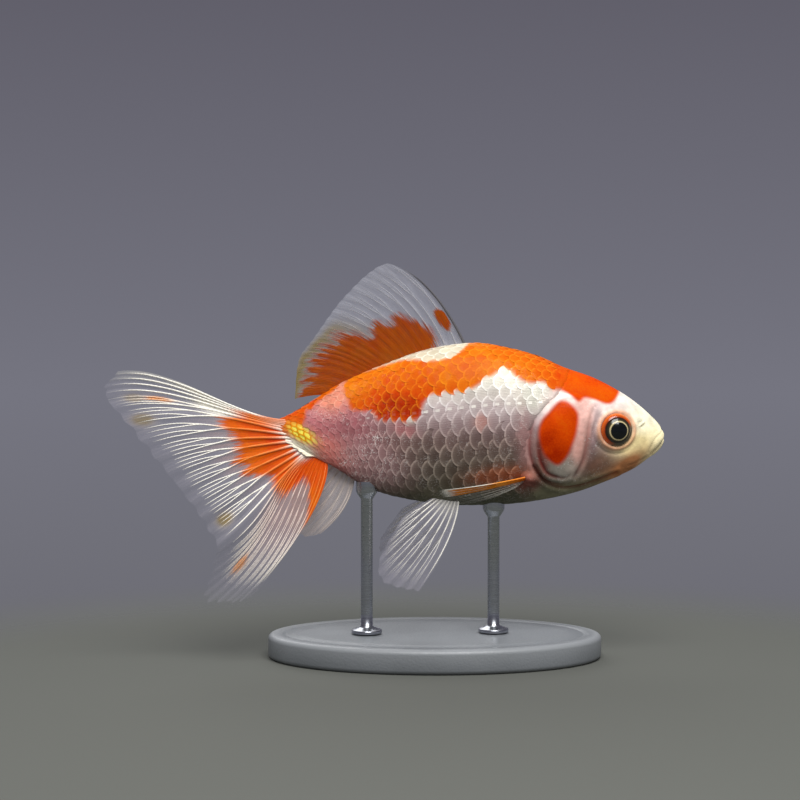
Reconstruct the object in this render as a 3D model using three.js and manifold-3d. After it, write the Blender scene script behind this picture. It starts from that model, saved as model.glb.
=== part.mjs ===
// A young red-and-white comet goldfish, life size, held by a plain display stand.
//
// Millimetres, +Z up. The head points along +X and the fish's right side faces -Y.
// The origin is the centre of the underside of the stand's base.
//
// The fish is laid out in body lengths. A place on it is [u, h, y]: u runs back from
// the snout, h upwards and y to the fish's left, each a fraction of STANDARD_LENGTH.
// The body is one loft, parted by thin cuts into the pieces that a person would name.
// Each fin is a curved sheet spanned by a few key rays, and is trimmed to the body.

import * as THREE from "three";
import { mergeVertices } from "three/addons/utils/BufferGeometryUtils.js";
import Module from "manifold-3d";

const wasm = await Module();
wasm.setup();

// Driving dimensions, in millimetres.
const STANDARD_LENGTH = 75;
const SNOUT_X = 48;
const SNOUT_HEIGHT = 46;
const GAP = 0.3;
const BASE_LENGTH = 70;
const BASE_WIDTH = 46;
const BASE_HEIGHT = 5;
const BASE_EDGE = 1;
const ROD_RADIUS = 1.25;
const ROD_FOOT_RADIUS = 3.2;
const ROD_FOOT_HEIGHT = 1.4;
const ROD_CUP_RADIUS = 2.3;
const ROD_CUP_HEIGHT = 2.5;

// Body lines: [distance back from the snout, value], in body lengths.
const BACK = [
  [0, 0], [0.01, 0.034], [0.04, 0.067], [0.12, 0.129], [0.2, 0.171], [0.28, 0.199],
  [0.35, 0.23], [0.43, 0.252], [0.53, 0.267], [0.66, 0.249], [0.78, 0.208],
  [0.9, 0.156], [0.98, 0.107], [1.05, 0.066], [1.1, 0.05],
];
const BELLY = [
  [0, 0], [0.01, -0.026], [0.04, -0.053], [0.09, -0.088], [0.17, -0.122], [0.25, -0.152],
  [0.35, -0.174], [0.45, -0.186], [0.6, -0.187], [0.7, -0.174], [0.79, -0.152],
  [0.85, -0.124], [0.89, -0.096], [0.93, -0.07], [0.97, -0.053],
];
const HALF_WIDTH = [
  [0, 0], [0.01, 0.027], [0.04, 0.047], [0.09, 0.067], [0.16, 0.086], [0.25, 0.103],
  [0.36, 0.115], [0.48, 0.116], [0.62, 0.103], [0.75, 0.079], [0.86, 0.053],
  [0.95, 0.036], [1.03, 0.025], [1.1, 0.018],
];
// The widest place lies this far up from the belly, as a fraction of the depth.
const WIDEST = 0.52;
// The last section stands at the tail base and leans back by this much at its top.
const TAIL_BASE = 1.03;
const TAIL_LEAN = 0.065;
const LEAN_START = 0.76;
// Up to here the skin also grows forwards, round the snout.
const SNOUT_END = 0.05;
// Behind this point the body swings to its right, by this curvature.
const BEND_START = 0.6;
const BEND = 0.42;

// Loft resolution: sections along the body, points round each, and how they crowd
// towards the snout.
const SECTIONS = 40;
const ROUND_POINTS = 32;
const SNOUT_CROWDING = 1.5;

// Cuts across the body: where each crosses CUT_TOP and CUT_BOTTOM.
const CUT_TOP = 0.35;
const CUT_BOTTOM = -0.3;
const CUT_REACH = 0.4;
const NAPE_CUT = [0.22, 0.34];
const MIDDLE_CUT = [0.56, 0.56];
const PEDUNCLE_CUT = [0.8, 0.88];

// Head pieces, as outlines seen from the side.
const MOUTH_LINE = [[-0.03, 0.014], [0.0, -0.001], [0.036, -0.044]];
const JAW_REAR = [[0.085, -0.13], [-0.03, -0.13]];
const LIP_TOP = [[0.05, -0.03], [0.02, 0.014], [-0.03, 0.034]];
const GILL_COVER = [
  [0.2, 0.085], [0.24, 0.118], [0.285, 0.115], [0.33, 0.08], [0.36, 0.03], [0.365, -0.03],
  [0.35, -0.085], [0.31, -0.118], [0.262, -0.112], [0.232, -0.06], [0.215, 0.01],
];
const GILL_COVER_INNER_FACE = 0.05;
const GILL_COVER_POINTS = 32;

// Each eye is a flattened ball, turned a little forwards.
const EYE = { centre: [0.141, 0.027, 0.072], radius: 0.046, depth: 0.029, turn: 0.22 };
const EYE_SIDES = 18;
const EYE_RINGS = 10;

// Key rays of the fins. Each row starts with how far across the fin the ray stands,
// from 0 to 1, and the ray is the Bezier curve of the places that follow, base to tip.
const DORSAL_RAYS = [
  [0, [0.545, 0.24, 0], [0.617, 0.407, 0], [0.719, 0.469, 0]],
  [0.1, [0.58, 0.235, 0], [0.65, 0.415, 0], [0.782, 0.487, 0]],
  [0.38, [0.68, 0.21, -0.004], [0.768, 0.358, -0.006], [0.89, 0.397, -0.015]],
  [0.66, [0.78, 0.185, -0.012], [0.87, 0.263, -0.02], [0.98, 0.275, -0.035]],
  [0.82, [0.83, 0.168, -0.02], [0.915, 0.225, -0.028], [1.018, 0.218, -0.045]],
  [1, [0.88, 0.14, -0.03], [0.945, 0.145, -0.038], [1.025, 0.125, -0.055]],
];
const UPPER_TAIL_RAYS = [
  [0, [1.055, 0.055, -0.074], [1.188, 0.058, -0.09], [1.356, 0.212, -0.15], [1.495, 0.191, -0.2]],
  [0.1, [1.05, 0.045, -0.074], [1.183, 0.055, -0.09], [1.373, 0.192, -0.15], [1.528, 0.154, -0.215]],
  [0.22, [1.045, 0.034, -0.072], [1.177, 0.052, -0.09], [1.375, 0.153, -0.15], [1.522, 0.112, -0.22]],
  [0.42, [1.03, 0.018, -0.07], [1.168, 0.047, -0.09], [1.335, 0.098, -0.15], [1.473, 0.05, -0.22]],
  [1, [0.985, -0.018, -0.067], [1.07, -0.082, -0.085], [1.172, -0.147, -0.14], [1.263, -0.213, -0.19]],
];
const LOWER_TAIL_RAYS = [
  [0, [0.98, -0.025, -0.067], [1.068, -0.094, -0.085], [1.163, -0.19, -0.14], [1.254, -0.25, -0.175]],
  [0.22, [0.975, -0.031, -0.067], [1.112, -0.11, -0.09], [1.051, -0.216, -0.135], [1.247, -0.328, -0.165]],
  [0.48, [0.966, -0.036, -0.067], [1.08, -0.11, -0.095], [1.05, -0.256, -0.145], [1.272, -0.429, -0.16]],
  [0.7, [0.956, -0.038, -0.065], [1.03, -0.11, -0.095], [1.01, -0.27, -0.15], [1.213, -0.442, -0.165]],
  [0.88, [0.948, -0.04, -0.061], [0.978, -0.11, -0.095], [0.988, -0.27, -0.15], [1.166, -0.436, -0.17]],
  [1, [0.94, -0.043, -0.057], [0.92, -0.113, -0.09], [0.98, -0.237, -0.145], [1.139, -0.42, -0.17]],
];
const ANAL_RAYS = [
  [0, [0.862, -0.1, -0.028], [0.868, -0.196, -0.029], [0.958, -0.264, -0.035]],
  [0.25, [0.88, -0.09, -0.03], [0.903, -0.19, -0.032], [1.0, -0.272, -0.04]],
  [0.6, [0.9, -0.075, -0.034], [0.95, -0.153, -0.038], [1.045, -0.24, -0.046]],
  [1, [0.94, -0.045, -0.045], [0.978, -0.088, -0.048], [1.035, -0.14, -0.055]],
];
const PELVIC_RAYS = [
  [0, [0.573, -0.16, -0.03], [0.573, -0.272, -0.057], [0.687, -0.419, -0.09]],
  [0.22, [0.584, -0.16, -0.03], [0.625, -0.281, -0.061], [0.736, -0.41, -0.095]],
  [0.45, [0.595, -0.16, -0.03], [0.665, -0.27, -0.065], [0.788, -0.388, -0.1]],
  [0.65, [0.606, -0.158, -0.03], [0.694, -0.244, -0.065], [0.796, -0.333, -0.1]],
  [1, [0.628, -0.155, -0.03], [0.681, -0.178, -0.05], [0.733, -0.218, -0.07]],
];
const PECTORAL_RAYS = [
  [0, [0.366, -0.097, -0.078], [0.49, -0.122, -0.15], [0.636, -0.132, -0.165]],
  [0.2, [0.368, -0.102, -0.076], [0.488, -0.132, -0.136], [0.627, -0.15, -0.155]],
  [0.45, [0.372, -0.107, -0.073], [0.486, -0.144, -0.118], [0.609, -0.166, -0.138]],
  [0.7, [0.378, -0.113, -0.07], [0.478, -0.154, -0.1], [0.576, -0.178, -0.115]],
  [1, [0.388, -0.12, -0.064], [0.446, -0.15, -0.078], [0.489, -0.165, -0.08]],
];
// The left pelvic fin is spread wider than the right one and hangs less deep.
const LEFT_PELVIC = { sideways: 1.7, downwards: 0.84 };

// Fin thickness at the base and at the tips, in millimetres, and grid cells.
const DORSAL_FIN = { base: 1.4, tip: 0.6, across: 12, along: 6 };
const TAIL_FIN = { base: 2.2, tip: 0.6, across: 12, along: 8 };
const ANAL_FIN = { base: 1.3, tip: 0.6, across: 7, along: 5 };
const PAIRED_FIN = { base: 1.3, tip: 0.6, across: 8, along: 6 };

// Where the rods stand, back from the snout in body lengths.
const FRONT_ROD = 0.475;
const REAR_ROD = 0.83;

// Colours of the pieces.
const SKIN = 0xd9cfd0;
const CHEEK = 0xe08a5a;
const BACK_AND_SIDES = 0xe0a183;
const FIN = 0xc9c8d2;
const EYE_BLACK = 0x1a1512;
const BASE_GREY = 0x6f7276;
const STEEL = 0xb9bcc0;

// Steps smoothly from 0 to 1 while x goes from low to high.
function smoothStep(x, low, high) {
  const k = Math.min(Math.max((x - low) / (high - low), 0), 1);
  return k * k * (3 - 2 * k);
}

// A smooth line through [x, value] knots: cubic pieces whose slope at each knot is
// that of the chord between its two neighbours.
function lineThrough(knots) {
  const last = knots.length - 1;
  const slopes = knots.map((_, i) => {
    const before = knots[Math.max(i - 1, 0)];
    const after = knots[Math.min(i + 1, last)];
    return (after[1] - before[1]) / (after[0] - before[0]);
  });
  return (x) => {
    let i = 0;
    while (i < last - 1 && x > knots[i + 1][0]) {
      i += 1;
    }
    const width = knots[i + 1][0] - knots[i][0];
    const k = Math.min(Math.max((x - knots[i][0]) / width, 0), 1);
    const k2 = k * k;
    const k3 = k2 * k;
    return (2 * k3 - 3 * k2 + 1) * knots[i][1] + (k3 - 2 * k2 + k) * width * slopes[i]
      + (3 * k2 - 2 * k3) * knots[i + 1][1] + (k3 - k2) * width * slopes[i + 1];
  };
}

// A body line is drawn against the square root of u, which makes the snout round.
function bodyLine(knots) {
  const line = lineThrough(knots.map(([u, value]) => [Math.sqrt(u), value]));
  return (u) => line(Math.sqrt(Math.max(u, 0)));
}

const backAt = bodyLine(BACK);
const bellyAt = bodyLine(BELLY);
const halfWidthAt = bodyLine(HALF_WIDTH);

// How far the body's middle has swung sideways at t.
function bendAt(t) {
  return -BEND * Math.max(t - BEND_START, 0) ** 2;
}

// Turns [u, h, y] in body lengths into millimetres.
function place(u, h, y) {
  return new THREE.Vector3(-u, y, h)
    .multiplyScalar(STANDARD_LENGTH)
    .add(new THREE.Vector3(SNOUT_X, 0, SNOUT_HEIGHT));
}

// A point of the skin: t runs from snout to tail base, and angle goes round the
// section from the back. The section is two half ellipses that meet where the body
// is widest. grow moves the skin outwards, in body lengths.
function bodyPoint(t, angle, grow) {
  const lean = TAIL_LEAN * smoothStep(t, LEAN_START, TAIL_BASE);
  const top = [t + lean, backAt(t + lean)];
  const bottom = [t - lean, bellyAt(t - lean)];
  const up = Math.cos(angle);
  const rise = WIDEST + up * (up > 0 ? 1 - WIDEST : WIDEST);
  const u = bottom[0] + (top[0] - bottom[0]) * rise - grow * (1 - smoothStep(t, 0, SNOUT_END));
  const h = bottom[1] + (top[1] - bottom[1]) * rise + grow * up;
  const y = bendAt(t) + Math.sin(angle) * (halfWidthAt(t) + grow);
  return place(u, h, y);
}

// The volume between a closed set of triangles and the origin, negative if the
// triangles face inwards.
function signedVolume(points, triangles) {
  return triangles.reduce((sum, [a, b, c]) => (
    sum + points[a].dot(points[b].clone().cross(points[c])) / 6
  ), 0);
}

// A manifold solid from points and triangles that close on themselves.
function solidOf(points, triangles) {
  const inwards = signedVolume(points, triangles) < 0;
  const corners = inwards ? triangles.map(([a, b, c]) => [a, c, b]) : triangles;
  const mesh = new wasm.Mesh({
    numProp: 3,
    vertProperties: new Float32Array(points.flatMap((p) => p.toArray())),
    triVerts: new Uint32Array(corners.flat()),
  });
  return new wasm.Manifold(mesh);
}

// A manifold solid from a three.js geometry that closes on itself.
function solidOfGeometry(geometry) {
  const bare = geometry.index ? geometry.toNonIndexed() : geometry.clone();
  bare.deleteAttribute("normal");
  bare.deleteAttribute("uv");
  const merged = mergeVertices(bare, 1e-4);
  const position = merged.getAttribute("position");
  const points = Array.from({ length: position.count }, (_, i) => (
    new THREE.Vector3().fromBufferAttribute(position, i)
  ));
  const index = merged.index.array;
  const triangles = [];
  for (let i = 0; i < index.length; i += 3) {
    const corner = [index[i], index[i + 1], index[i + 2]];
    if (new Set(corner).size === 3) {
      triangles.push(corner);
    }
  }
  return solidOf(points, triangles);
}

// The whole body as one solid, its skin moved outwards by grow millimetres.
function bodySolid(grow) {
  const outset = grow / STANDARD_LENGTH;
  const points = [bodyPoint(0, Math.PI / 2, outset).setY(0)];
  for (let i = 1; i <= SECTIONS; i += 1) {
    const t = (TAIL_BASE + outset) * (i / SECTIONS) ** SNOUT_CROWDING;
    for (let j = 0; j < ROUND_POINTS; j += 1) {
      points.push(bodyPoint(t, (2 * Math.PI * j) / ROUND_POINTS, outset));
    }
  }
  const lastRing = points.slice(-ROUND_POINTS);
  const end = lastRing.reduce((sum, p) => sum.add(p), new THREE.Vector3());
  points.push(end.divideScalar(ROUND_POINTS));
  const triangles = [];
  const at = (i, j) => 1 + i * ROUND_POINTS + (j % ROUND_POINTS);
  for (let j = 0; j < ROUND_POINTS; j += 1) {
    triangles.push([0, at(0, j + 1), at(0, j)]);
    triangles.push([points.length - 1, at(SECTIONS - 1, j), at(SECTIONS - 1, j + 1)]);
    for (let i = 0; i < SECTIONS - 1; i += 1) {
      triangles.push([at(i, j), at(i, j + 1), at(i + 1, j + 1)]);
      triangles.push([at(i, j), at(i + 1, j + 1), at(i + 1, j)]);
    }
  }
  return solidOf(points, triangles);
}

// A block whose outline is seen from the side, from sideways place yLow to yHigh.
function sideBlock(outline, yLow, yHigh) {
  const shape = new THREE.Shape(outline.map(([u, h]) => {
    const corner = place(u, h, 0);
    return new THREE.Vector2(corner.x, corner.z);
  }));
  const depth = (yHigh - yLow) * STANDARD_LENGTH;
  const block = new THREE.ExtrudeGeometry(shape, { depth, bevelEnabled: false });
  block.rotateX(Math.PI / 2);
  block.translate(0, yHigh * STANDARD_LENGTH, 0);
  return solidOfGeometry(block);
}

// The slice of space between two cuts, half a gap short of each.
function sliceBetween(frontCut, rearCut) {
  const half = GAP / 2 / STANDARD_LENGTH;
  const outline = [
    [frontCut[0] + half, CUT_TOP], [frontCut[1] + half, CUT_BOTTOM],
    [rearCut[1] - half, CUT_BOTTOM], [rearCut[0] - half, CUT_TOP],
  ];
  return sideBlock(outline, -CUT_REACH, CUT_REACH);
}

// An outline moved away from its own middle by grow, in body lengths.
function grownOutline(outline, grow) {
  const middle = outline.reduce((sum, [u, h]) => [sum[0] + u, sum[1] + h], [0, 0])
    .map((sum) => sum / outline.length);
  return outline.map(([u, h]) => {
    const away = new THREE.Vector2(u - middle[0], h - middle[1]);
    away.setLength(away.length() + grow);
    return [middle[0] + away.x, middle[1] + away.y];
  });
}

// The gill cover's outline as a smooth closed curve through its knots.
function gillCoverBlock(side, grow) {
  const curve = new THREE.CatmullRomCurve3(
    grownOutline(GILL_COVER, grow).map(([u, h]) => new THREE.Vector3(u, h, 0)),
    true,
  );
  const outline = curve.getPoints(GILL_COVER_POINTS).slice(0, -1).map((p) => [p.x, p.y]);
  const inner = GILL_COVER_INNER_FACE - grow;
  return side > 0 ? sideBlock(outline, inner, CUT_REACH) : sideBlock(outline, -CUT_REACH, -inner);
}

// One eyeball on the given side, +1 for the left, its surface moved out by grow
// millimetres. It looks along the ball's poles.
function eyeGeometry(side, grow) {
  const ball = new THREE.SphereGeometry(1, EYE_SIDES, EYE_RINGS);
  const across = EYE.radius * STANDARD_LENGTH + grow;
  ball.scale(across, EYE.depth * STANDARD_LENGTH + grow, across);
  ball.rotateZ(-side * EYE.turn);
  const centre = place(EYE.centre[0], EYE.centre[1], side * EYE.centre[2]);
  ball.translate(centre.x, centre.y, centre.z);
  return ball;
}

// A fin's middle surface: across and along run from 0 to 1 over the key rays. The
// places that steer the rays are themselves drawn smoothly from key ray to key ray.
function finSurface(rays) {
  const steers = rays[0].slice(1).map((_, i) => (
    [0, 1, 2].map((axis) => lineThrough(rays.map(([at, ...path]) => [at, path[i][axis]])))
  ));
  return (across, along) => {
    let places = steers.map((axes) => place(...axes.map((line) => line(across))));
    while (places.length > 1) {
      places = places.slice(1).map((next, i) => places[i].clone().lerp(next, along));
    }
    return places[0];
  };
}

// The direction square to a surface at one of its points, from short steps both ways.
function squareTo(surface, across, along) {
  const step = 1e-3;
  const a0 = Math.max(across - step, 0);
  const a1 = Math.min(across + step, 1);
  const s0 = Math.max(along - step, 0);
  const s1 = Math.min(along + step, 1);
  const sideways = surface(a1, along).sub(surface(a0, along));
  const outwards = surface(across, s1).sub(surface(across, s0));
  return sideways.cross(outwards).normalize();
}

// A fin as a closed sheet that thins from its base to its tips.
function finSolid(rays, fin) {
  const surface = finSurface(rays);
  const rows = fin.across + 1;
  const columns = fin.along + 1;
  const points = [];
  for (const face of [1, -1]) {
    for (let i = 0; i < rows; i += 1) {
      for (let j = 0; j < columns; j += 1) {
        const across = i / fin.across;
        const along = j / fin.along;
        const half = (fin.tip + (fin.base - fin.tip) * (1 - along) ** 2) / 2;
        const square = squareTo(surface, across, along);
        points.push(surface(across, along).addScaledVector(square, face * half));
      }
    }
  }
  const at = (face, i, j) => face * rows * columns + i * columns + j;
  const triangles = [];
  const addQuad = (a, b, c, d) => triangles.push([a, b, c], [a, c, d]);
  for (let i = 0; i < fin.across; i += 1) {
    for (let j = 0; j < fin.along; j += 1) {
      addQuad(at(0, i, j), at(0, i + 1, j), at(0, i + 1, j + 1), at(0, i, j + 1));
      addQuad(at(1, i, j), at(1, i, j + 1), at(1, i + 1, j + 1), at(1, i + 1, j));
    }
    addQuad(at(0, i, 0), at(1, i, 0), at(1, i + 1, 0), at(0, i + 1, 0));
    addQuad(at(0, i, fin.along), at(0, i + 1, fin.along), at(1, i + 1, fin.along), at(1, i, fin.along));
  }
  for (let j = 0; j < fin.along; j += 1) {
    addQuad(at(0, 0, j), at(0, 0, j + 1), at(1, 0, j + 1), at(1, 0, j));
    addQuad(at(0, fin.across, j), at(1, fin.across, j), at(1, fin.across, j + 1), at(0, fin.across, j + 1));
  }
  return solidOf(points, triangles);
}

// The same rays on the other side of the fish, with what lies past the base spread
// sideways and drawn up or down by two factors.
function otherSide(rays, { sideways, downwards }) {
  const root = rays[0][1][1];
  const turn = ([u, h, y]) => [u, root + (h - root) * downwards, -y * sideways];
  return rays.map(([at, [u, h, y], ...beyond]) => [at, [u, h, -y], ...beyond.map(turn)]);
}

// A rod with a round foot below and a cup below the belly, before it is trimmed.
function rodSolid(u) {
  const foot = BASE_HEIGHT + GAP;
  const belly = SNOUT_HEIGHT + bellyAt(u) * STANDARD_LENGTH;
  const top = belly + ROD_CUP_RADIUS;
  const cup = belly - ROD_CUP_HEIGHT;
  const profile = [
    [0, foot], [ROD_FOOT_RADIUS, foot], [ROD_FOOT_RADIUS, foot + ROD_FOOT_HEIGHT / 2],
    [ROD_RADIUS, foot + ROD_FOOT_HEIGHT], [ROD_RADIUS, cup], [ROD_CUP_RADIUS, belly - ROD_RADIUS],
    [ROD_CUP_RADIUS, top], [0, top],
  ].map(([radius, height]) => new THREE.Vector2(radius, height));
  const rod = new THREE.LatheGeometry(profile, 16);
  rod.rotateX(Math.PI / 2);
  rod.translate(SNOUT_X - u * STANDARD_LENGTH, bendAt(u) * STANDARD_LENGTH, 0);
  return solidOfGeometry(rod);
}

// The stand's oval base with eased edges.
function baseSolid() {
  const oval = new THREE.Shape();
  oval.absellipse(0, 0, BASE_LENGTH / 2 - BASE_EDGE, BASE_WIDTH / 2 - BASE_EDGE, 0, 2 * Math.PI, false, 0);
  const plate = new THREE.ExtrudeGeometry(oval, {
    depth: BASE_HEIGHT - 2 * BASE_EDGE,
    bevelThickness: BASE_EDGE,
    bevelSize: BASE_EDGE,
    bevelSegments: 2,
    curveSegments: 22,
  });
  plate.translate(0, 0, BASE_EDGE);
  return solidOfGeometry(plate);
}

// The largest separate lump of a solid, which drops crumbs left by a cut.
function largestLump(solid) {
  const lumps = solid.decompose().sort((a, b) => b.volume() - a.volume());
  return lumps[0];
}

// The finished goldfish, one named mesh for each sub-part.
const goldfish = new THREE.Group();

function addPiece(name, solid, color, roughness, metalness = 0) {
  const { vertProperties, triVerts } = largestLump(solid).getMesh();
  const geometry = new THREE.BufferGeometry();
  geometry.setAttribute("position", new THREE.BufferAttribute(Float32Array.from(vertProperties), 3));
  geometry.setIndex(new THREE.BufferAttribute(Uint32Array.from(triVerts), 1));
  geometry.computeVertexNormals();
  const material = new THREE.MeshStandardMaterial({ color, roughness, metalness });
  const mesh = new THREE.Mesh(geometry, material);
  mesh.name = name;
  goldfish.add(mesh);
}

const gap = GAP / STANDARD_LENGTH;
const body = bodySolid(0);
const clearOfBody = bodySolid(GAP);

function addHead() {
  const lips = [...MOUTH_LINE, ...LIP_TOP];
  const jaw = [...MOUTH_LINE, ...JAW_REAR].map(([u, h]) => [u, h - gap]);
  const room = (outline) => sideBlock(grownOutline(outline, 1.5 * gap), -CUT_REACH, CUT_REACH);
  let head = body.intersect(sliceBetween([-0.1, -0.1], NAPE_CUT));
  head = head.subtract(room(lips)).subtract(room(jaw));
  for (const side of [1, -1]) {
    head = head.subtract(gillCoverBlock(side, gap));
    head = head.subtract(solidOfGeometry(eyeGeometry(side, GAP)));
  }
  addPiece("head", head, SKIN, 0.4);
  addPiece("upper_lip", body.intersect(sideBlock(lips, -CUT_REACH, CUT_REACH)), SKIN, 0.4);
  addPiece("lower_jaw", body.intersect(sideBlock(jaw, -CUT_REACH, CUT_REACH)), SKIN, 0.4);
  for (const [side, name] of [[-1, "right"], [1, "left"]]) {
    addPiece(`gill_cover_${name}`, body.intersect(gillCoverBlock(side, 0)), CHEEK, 0.35);
    addPiece(`eye_${name}`, solidOfGeometry(eyeGeometry(side, 0)), EYE_BLACK, 0.1);
  }
}

function addTrunk() {
  const covers = gillCoverBlock(1, gap).add(gillCoverBlock(-1, gap));
  const front = body.intersect(sliceBetween(NAPE_CUT, MIDDLE_CUT)).subtract(covers);
  const rear = body.intersect(sliceBetween(MIDDLE_CUT, PEDUNCLE_CUT));
  const peduncle = body.intersect(sliceBetween(PEDUNCLE_CUT, [1.3, 1.3]));
  addPiece("trunk_front", front, BACK_AND_SIDES, 0.35);
  addPiece("trunk_rear", rear, BACK_AND_SIDES, 0.35);
  addPiece("tail_stem", peduncle, BACK_AND_SIDES, 0.35);
}

function addFins() {
  const mirrored = { sideways: 1, downwards: 1 };
  const fins = [
    ["dorsal_fin", DORSAL_RAYS, DORSAL_FIN],
    ["tail_fin_upper", UPPER_TAIL_RAYS, TAIL_FIN],
    ["tail_fin_lower", LOWER_TAIL_RAYS, TAIL_FIN],
    ["anal_fin", ANAL_RAYS, ANAL_FIN],
    ["pelvic_fin_right", PELVIC_RAYS, PAIRED_FIN],
    ["pelvic_fin_left", otherSide(PELVIC_RAYS, LEFT_PELVIC), PAIRED_FIN],
    ["pectoral_fin_right", PECTORAL_RAYS, PAIRED_FIN],
    ["pectoral_fin_left", otherSide(PECTORAL_RAYS, mirrored), PAIRED_FIN],
  ];
  for (const [name, rays, fin] of fins) {
    addPiece(name, finSolid(rays, fin).subtract(clearOfBody), FIN, 0.3);
  }
}

function addStand() {
  addPiece("stand_base", baseSolid(), BASE_GREY, 0.5);
  addPiece("stand_rod_front", rodSolid(FRONT_ROD).subtract(clearOfBody), STEEL, 0.3, 1);
  addPiece("stand_rod_rear", rodSolid(REAR_ROD).subtract(clearOfBody), STEEL, 0.3, 1);
}

addHead();
addTrunk();
addFins();
addStand();

export default goldfish;
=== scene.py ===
"""A young red-and-white comet goldfish on its display stand: the looks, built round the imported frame.

Metres, +Z up. The head points along +X and the fish's right side faces -Y. The fish is laid out
in body lengths: a place on it is (u, h, y), where u runs back from the snout, h upwards and y to
the fish's left. Its right and left sides are numbered -1 and +1.
"""

import math
from types import SimpleNamespace

import bpy
import numpy as np
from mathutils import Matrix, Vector


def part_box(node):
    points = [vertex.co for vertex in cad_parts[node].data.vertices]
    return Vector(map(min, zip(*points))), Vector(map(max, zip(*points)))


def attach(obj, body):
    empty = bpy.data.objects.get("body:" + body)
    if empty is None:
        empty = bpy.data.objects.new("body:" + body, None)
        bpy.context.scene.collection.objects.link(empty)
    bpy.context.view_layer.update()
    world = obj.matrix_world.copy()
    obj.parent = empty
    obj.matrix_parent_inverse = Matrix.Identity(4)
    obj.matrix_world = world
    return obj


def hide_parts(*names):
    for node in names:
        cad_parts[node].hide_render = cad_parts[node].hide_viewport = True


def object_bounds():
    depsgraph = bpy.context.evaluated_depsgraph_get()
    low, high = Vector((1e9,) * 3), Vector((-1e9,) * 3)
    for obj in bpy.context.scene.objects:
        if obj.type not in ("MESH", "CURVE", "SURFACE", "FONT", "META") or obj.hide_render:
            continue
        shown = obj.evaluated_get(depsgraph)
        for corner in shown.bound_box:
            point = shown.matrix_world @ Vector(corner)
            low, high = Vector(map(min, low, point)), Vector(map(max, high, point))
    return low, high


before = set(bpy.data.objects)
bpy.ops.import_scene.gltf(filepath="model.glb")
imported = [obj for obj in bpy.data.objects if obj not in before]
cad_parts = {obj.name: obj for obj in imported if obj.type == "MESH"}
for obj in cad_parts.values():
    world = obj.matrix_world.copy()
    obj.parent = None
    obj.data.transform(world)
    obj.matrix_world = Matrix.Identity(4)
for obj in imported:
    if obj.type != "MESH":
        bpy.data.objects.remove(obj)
CAD_LOW, CAD_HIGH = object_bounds()

MM = 0.001
RIGHT, LEFT = -1, 1
SIDE_NAMES = {RIGHT: "right", LEFT: "left"}


def thousandths(*numbers):
    """Numbers written in thousandths."""
    return np.array(numbers, float) / 1000


def rows_of(width, *numbers):
    """Numbers written in thousandths, as rows of so many."""
    return thousandths(*numbers).reshape(-1, width)


# The fish's measures, in body lengths. Body lines are rows of (distance from the snout, value).
BACK = rows_of(
    2, 0, 0, 10, 34, 40, 67, 120, 129, 200, 171, 280, 199, 350, 230, 430, 252, 530, 267, 660, 249,
    780, 208, 900, 156, 980, 107, 1050, 66, 1100, 50)
BELLY = rows_of(
    2, 0, 0, 10, -26, 40, -53, 90, -88, 170, -122, 250, -152, 350, -174, 450, -186, 600, -187,
    700, -174, 790, -152, 850, -124, 890, -96, 930, -70, 970, -53)
HALF_WIDTH = rows_of(
    2, 0, 0, 10, 27, 40, 47, 90, 67, 160, 86, 250, 103, 360, 115, 480, 116, 620, 103, 750, 79,
    860, 53, 950, 36, 1030, 25, 1100, 18)
WIDEST = 0.52
TAIL_BASE = 1.03
TAIL_LEAN, LEAN_START = 0.065, 0.76
BEND, BEND_START = 0.42, 0.6
ROOT_BEND, ROOT_BEND_START = 1.8, 0.98
# The skin narrows to nothing over the root of the tail fin, between these two.
ROOT_START, ROOT_END = 0.95, 1.066

EYE_CENTRE = (0.141, 0.027, 0.072)
EYE_RADIUS = 0.046
EYE_DEPTH = 0.029
EYE_TURN = 0.22

# The frame's own marks: the thin cut across the trunk, and the eyes' centres.
MIDDLE_CUT = 0.56
SNOUT_X = CAD_HIGH.x
CUT_X = (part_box("trunk_front")[0].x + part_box("trunk_rear")[1].x) / 2
LENGTH = (SNOUT_X - CUT_X) / MIDDLE_CUT
SNOUT_Z = sum(corner.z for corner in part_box("eye_right")) / 2 - EYE_CENTRE[1] * LENGTH

# Lines of the head, as rows of (u, h) seen from the side.
GILL_COVER = rows_of(
    2, 200, 85, 240, 120, 292, 124, 340, 80, 370, 34, 376, -20, 364, -70, 334, -108, 272, -118,
    236, -70, 212, 10)
CHEEK_GROOVE = rows_of(2, 202, 90, 216, 52, 225, -8, 236, -58, 256, -100)
THROAT_GROOVE = rows_of(2, 366, -75, 340, -113, 295, -134, 240, -130, 185, -113, 135, -94)
MOUTH = rows_of(2, -30, 12, 0, 3, 5, 0, 12, -7, 24, -20, 36, -32)
UPPER_LIP = rows_of(2, 46, -24, 38, -6, 26, 14, 10, 27, 0, 28, -30, 30)
JAW_CREASE = rows_of(2, 36, -44, 62, -58, 100, -74)
# The lips' lines sink by so much from the middle of the snout to its sides, over this far.
LIP_ARCH, LIP_ARCH_WIDTH = 0.012, 0.03
NOSTRIL = (0.068, 0.042)
NOSTRIL_TURN = math.atan2(4, 3)
# The scales begin behind this line, given as (h, u).
SCALES_BEGIN = rows_of(
    2, -200, 350, -140, 365, -100, 378, -64, 388, -8, 390, 36, 380, 79, 350, 124, 303, 160, 278,
    200, 260, 280, 250)
SCALES_END = 1.04
COAT = 0.24 * MM
FIRST_COAT = 0.05 * MM

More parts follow.
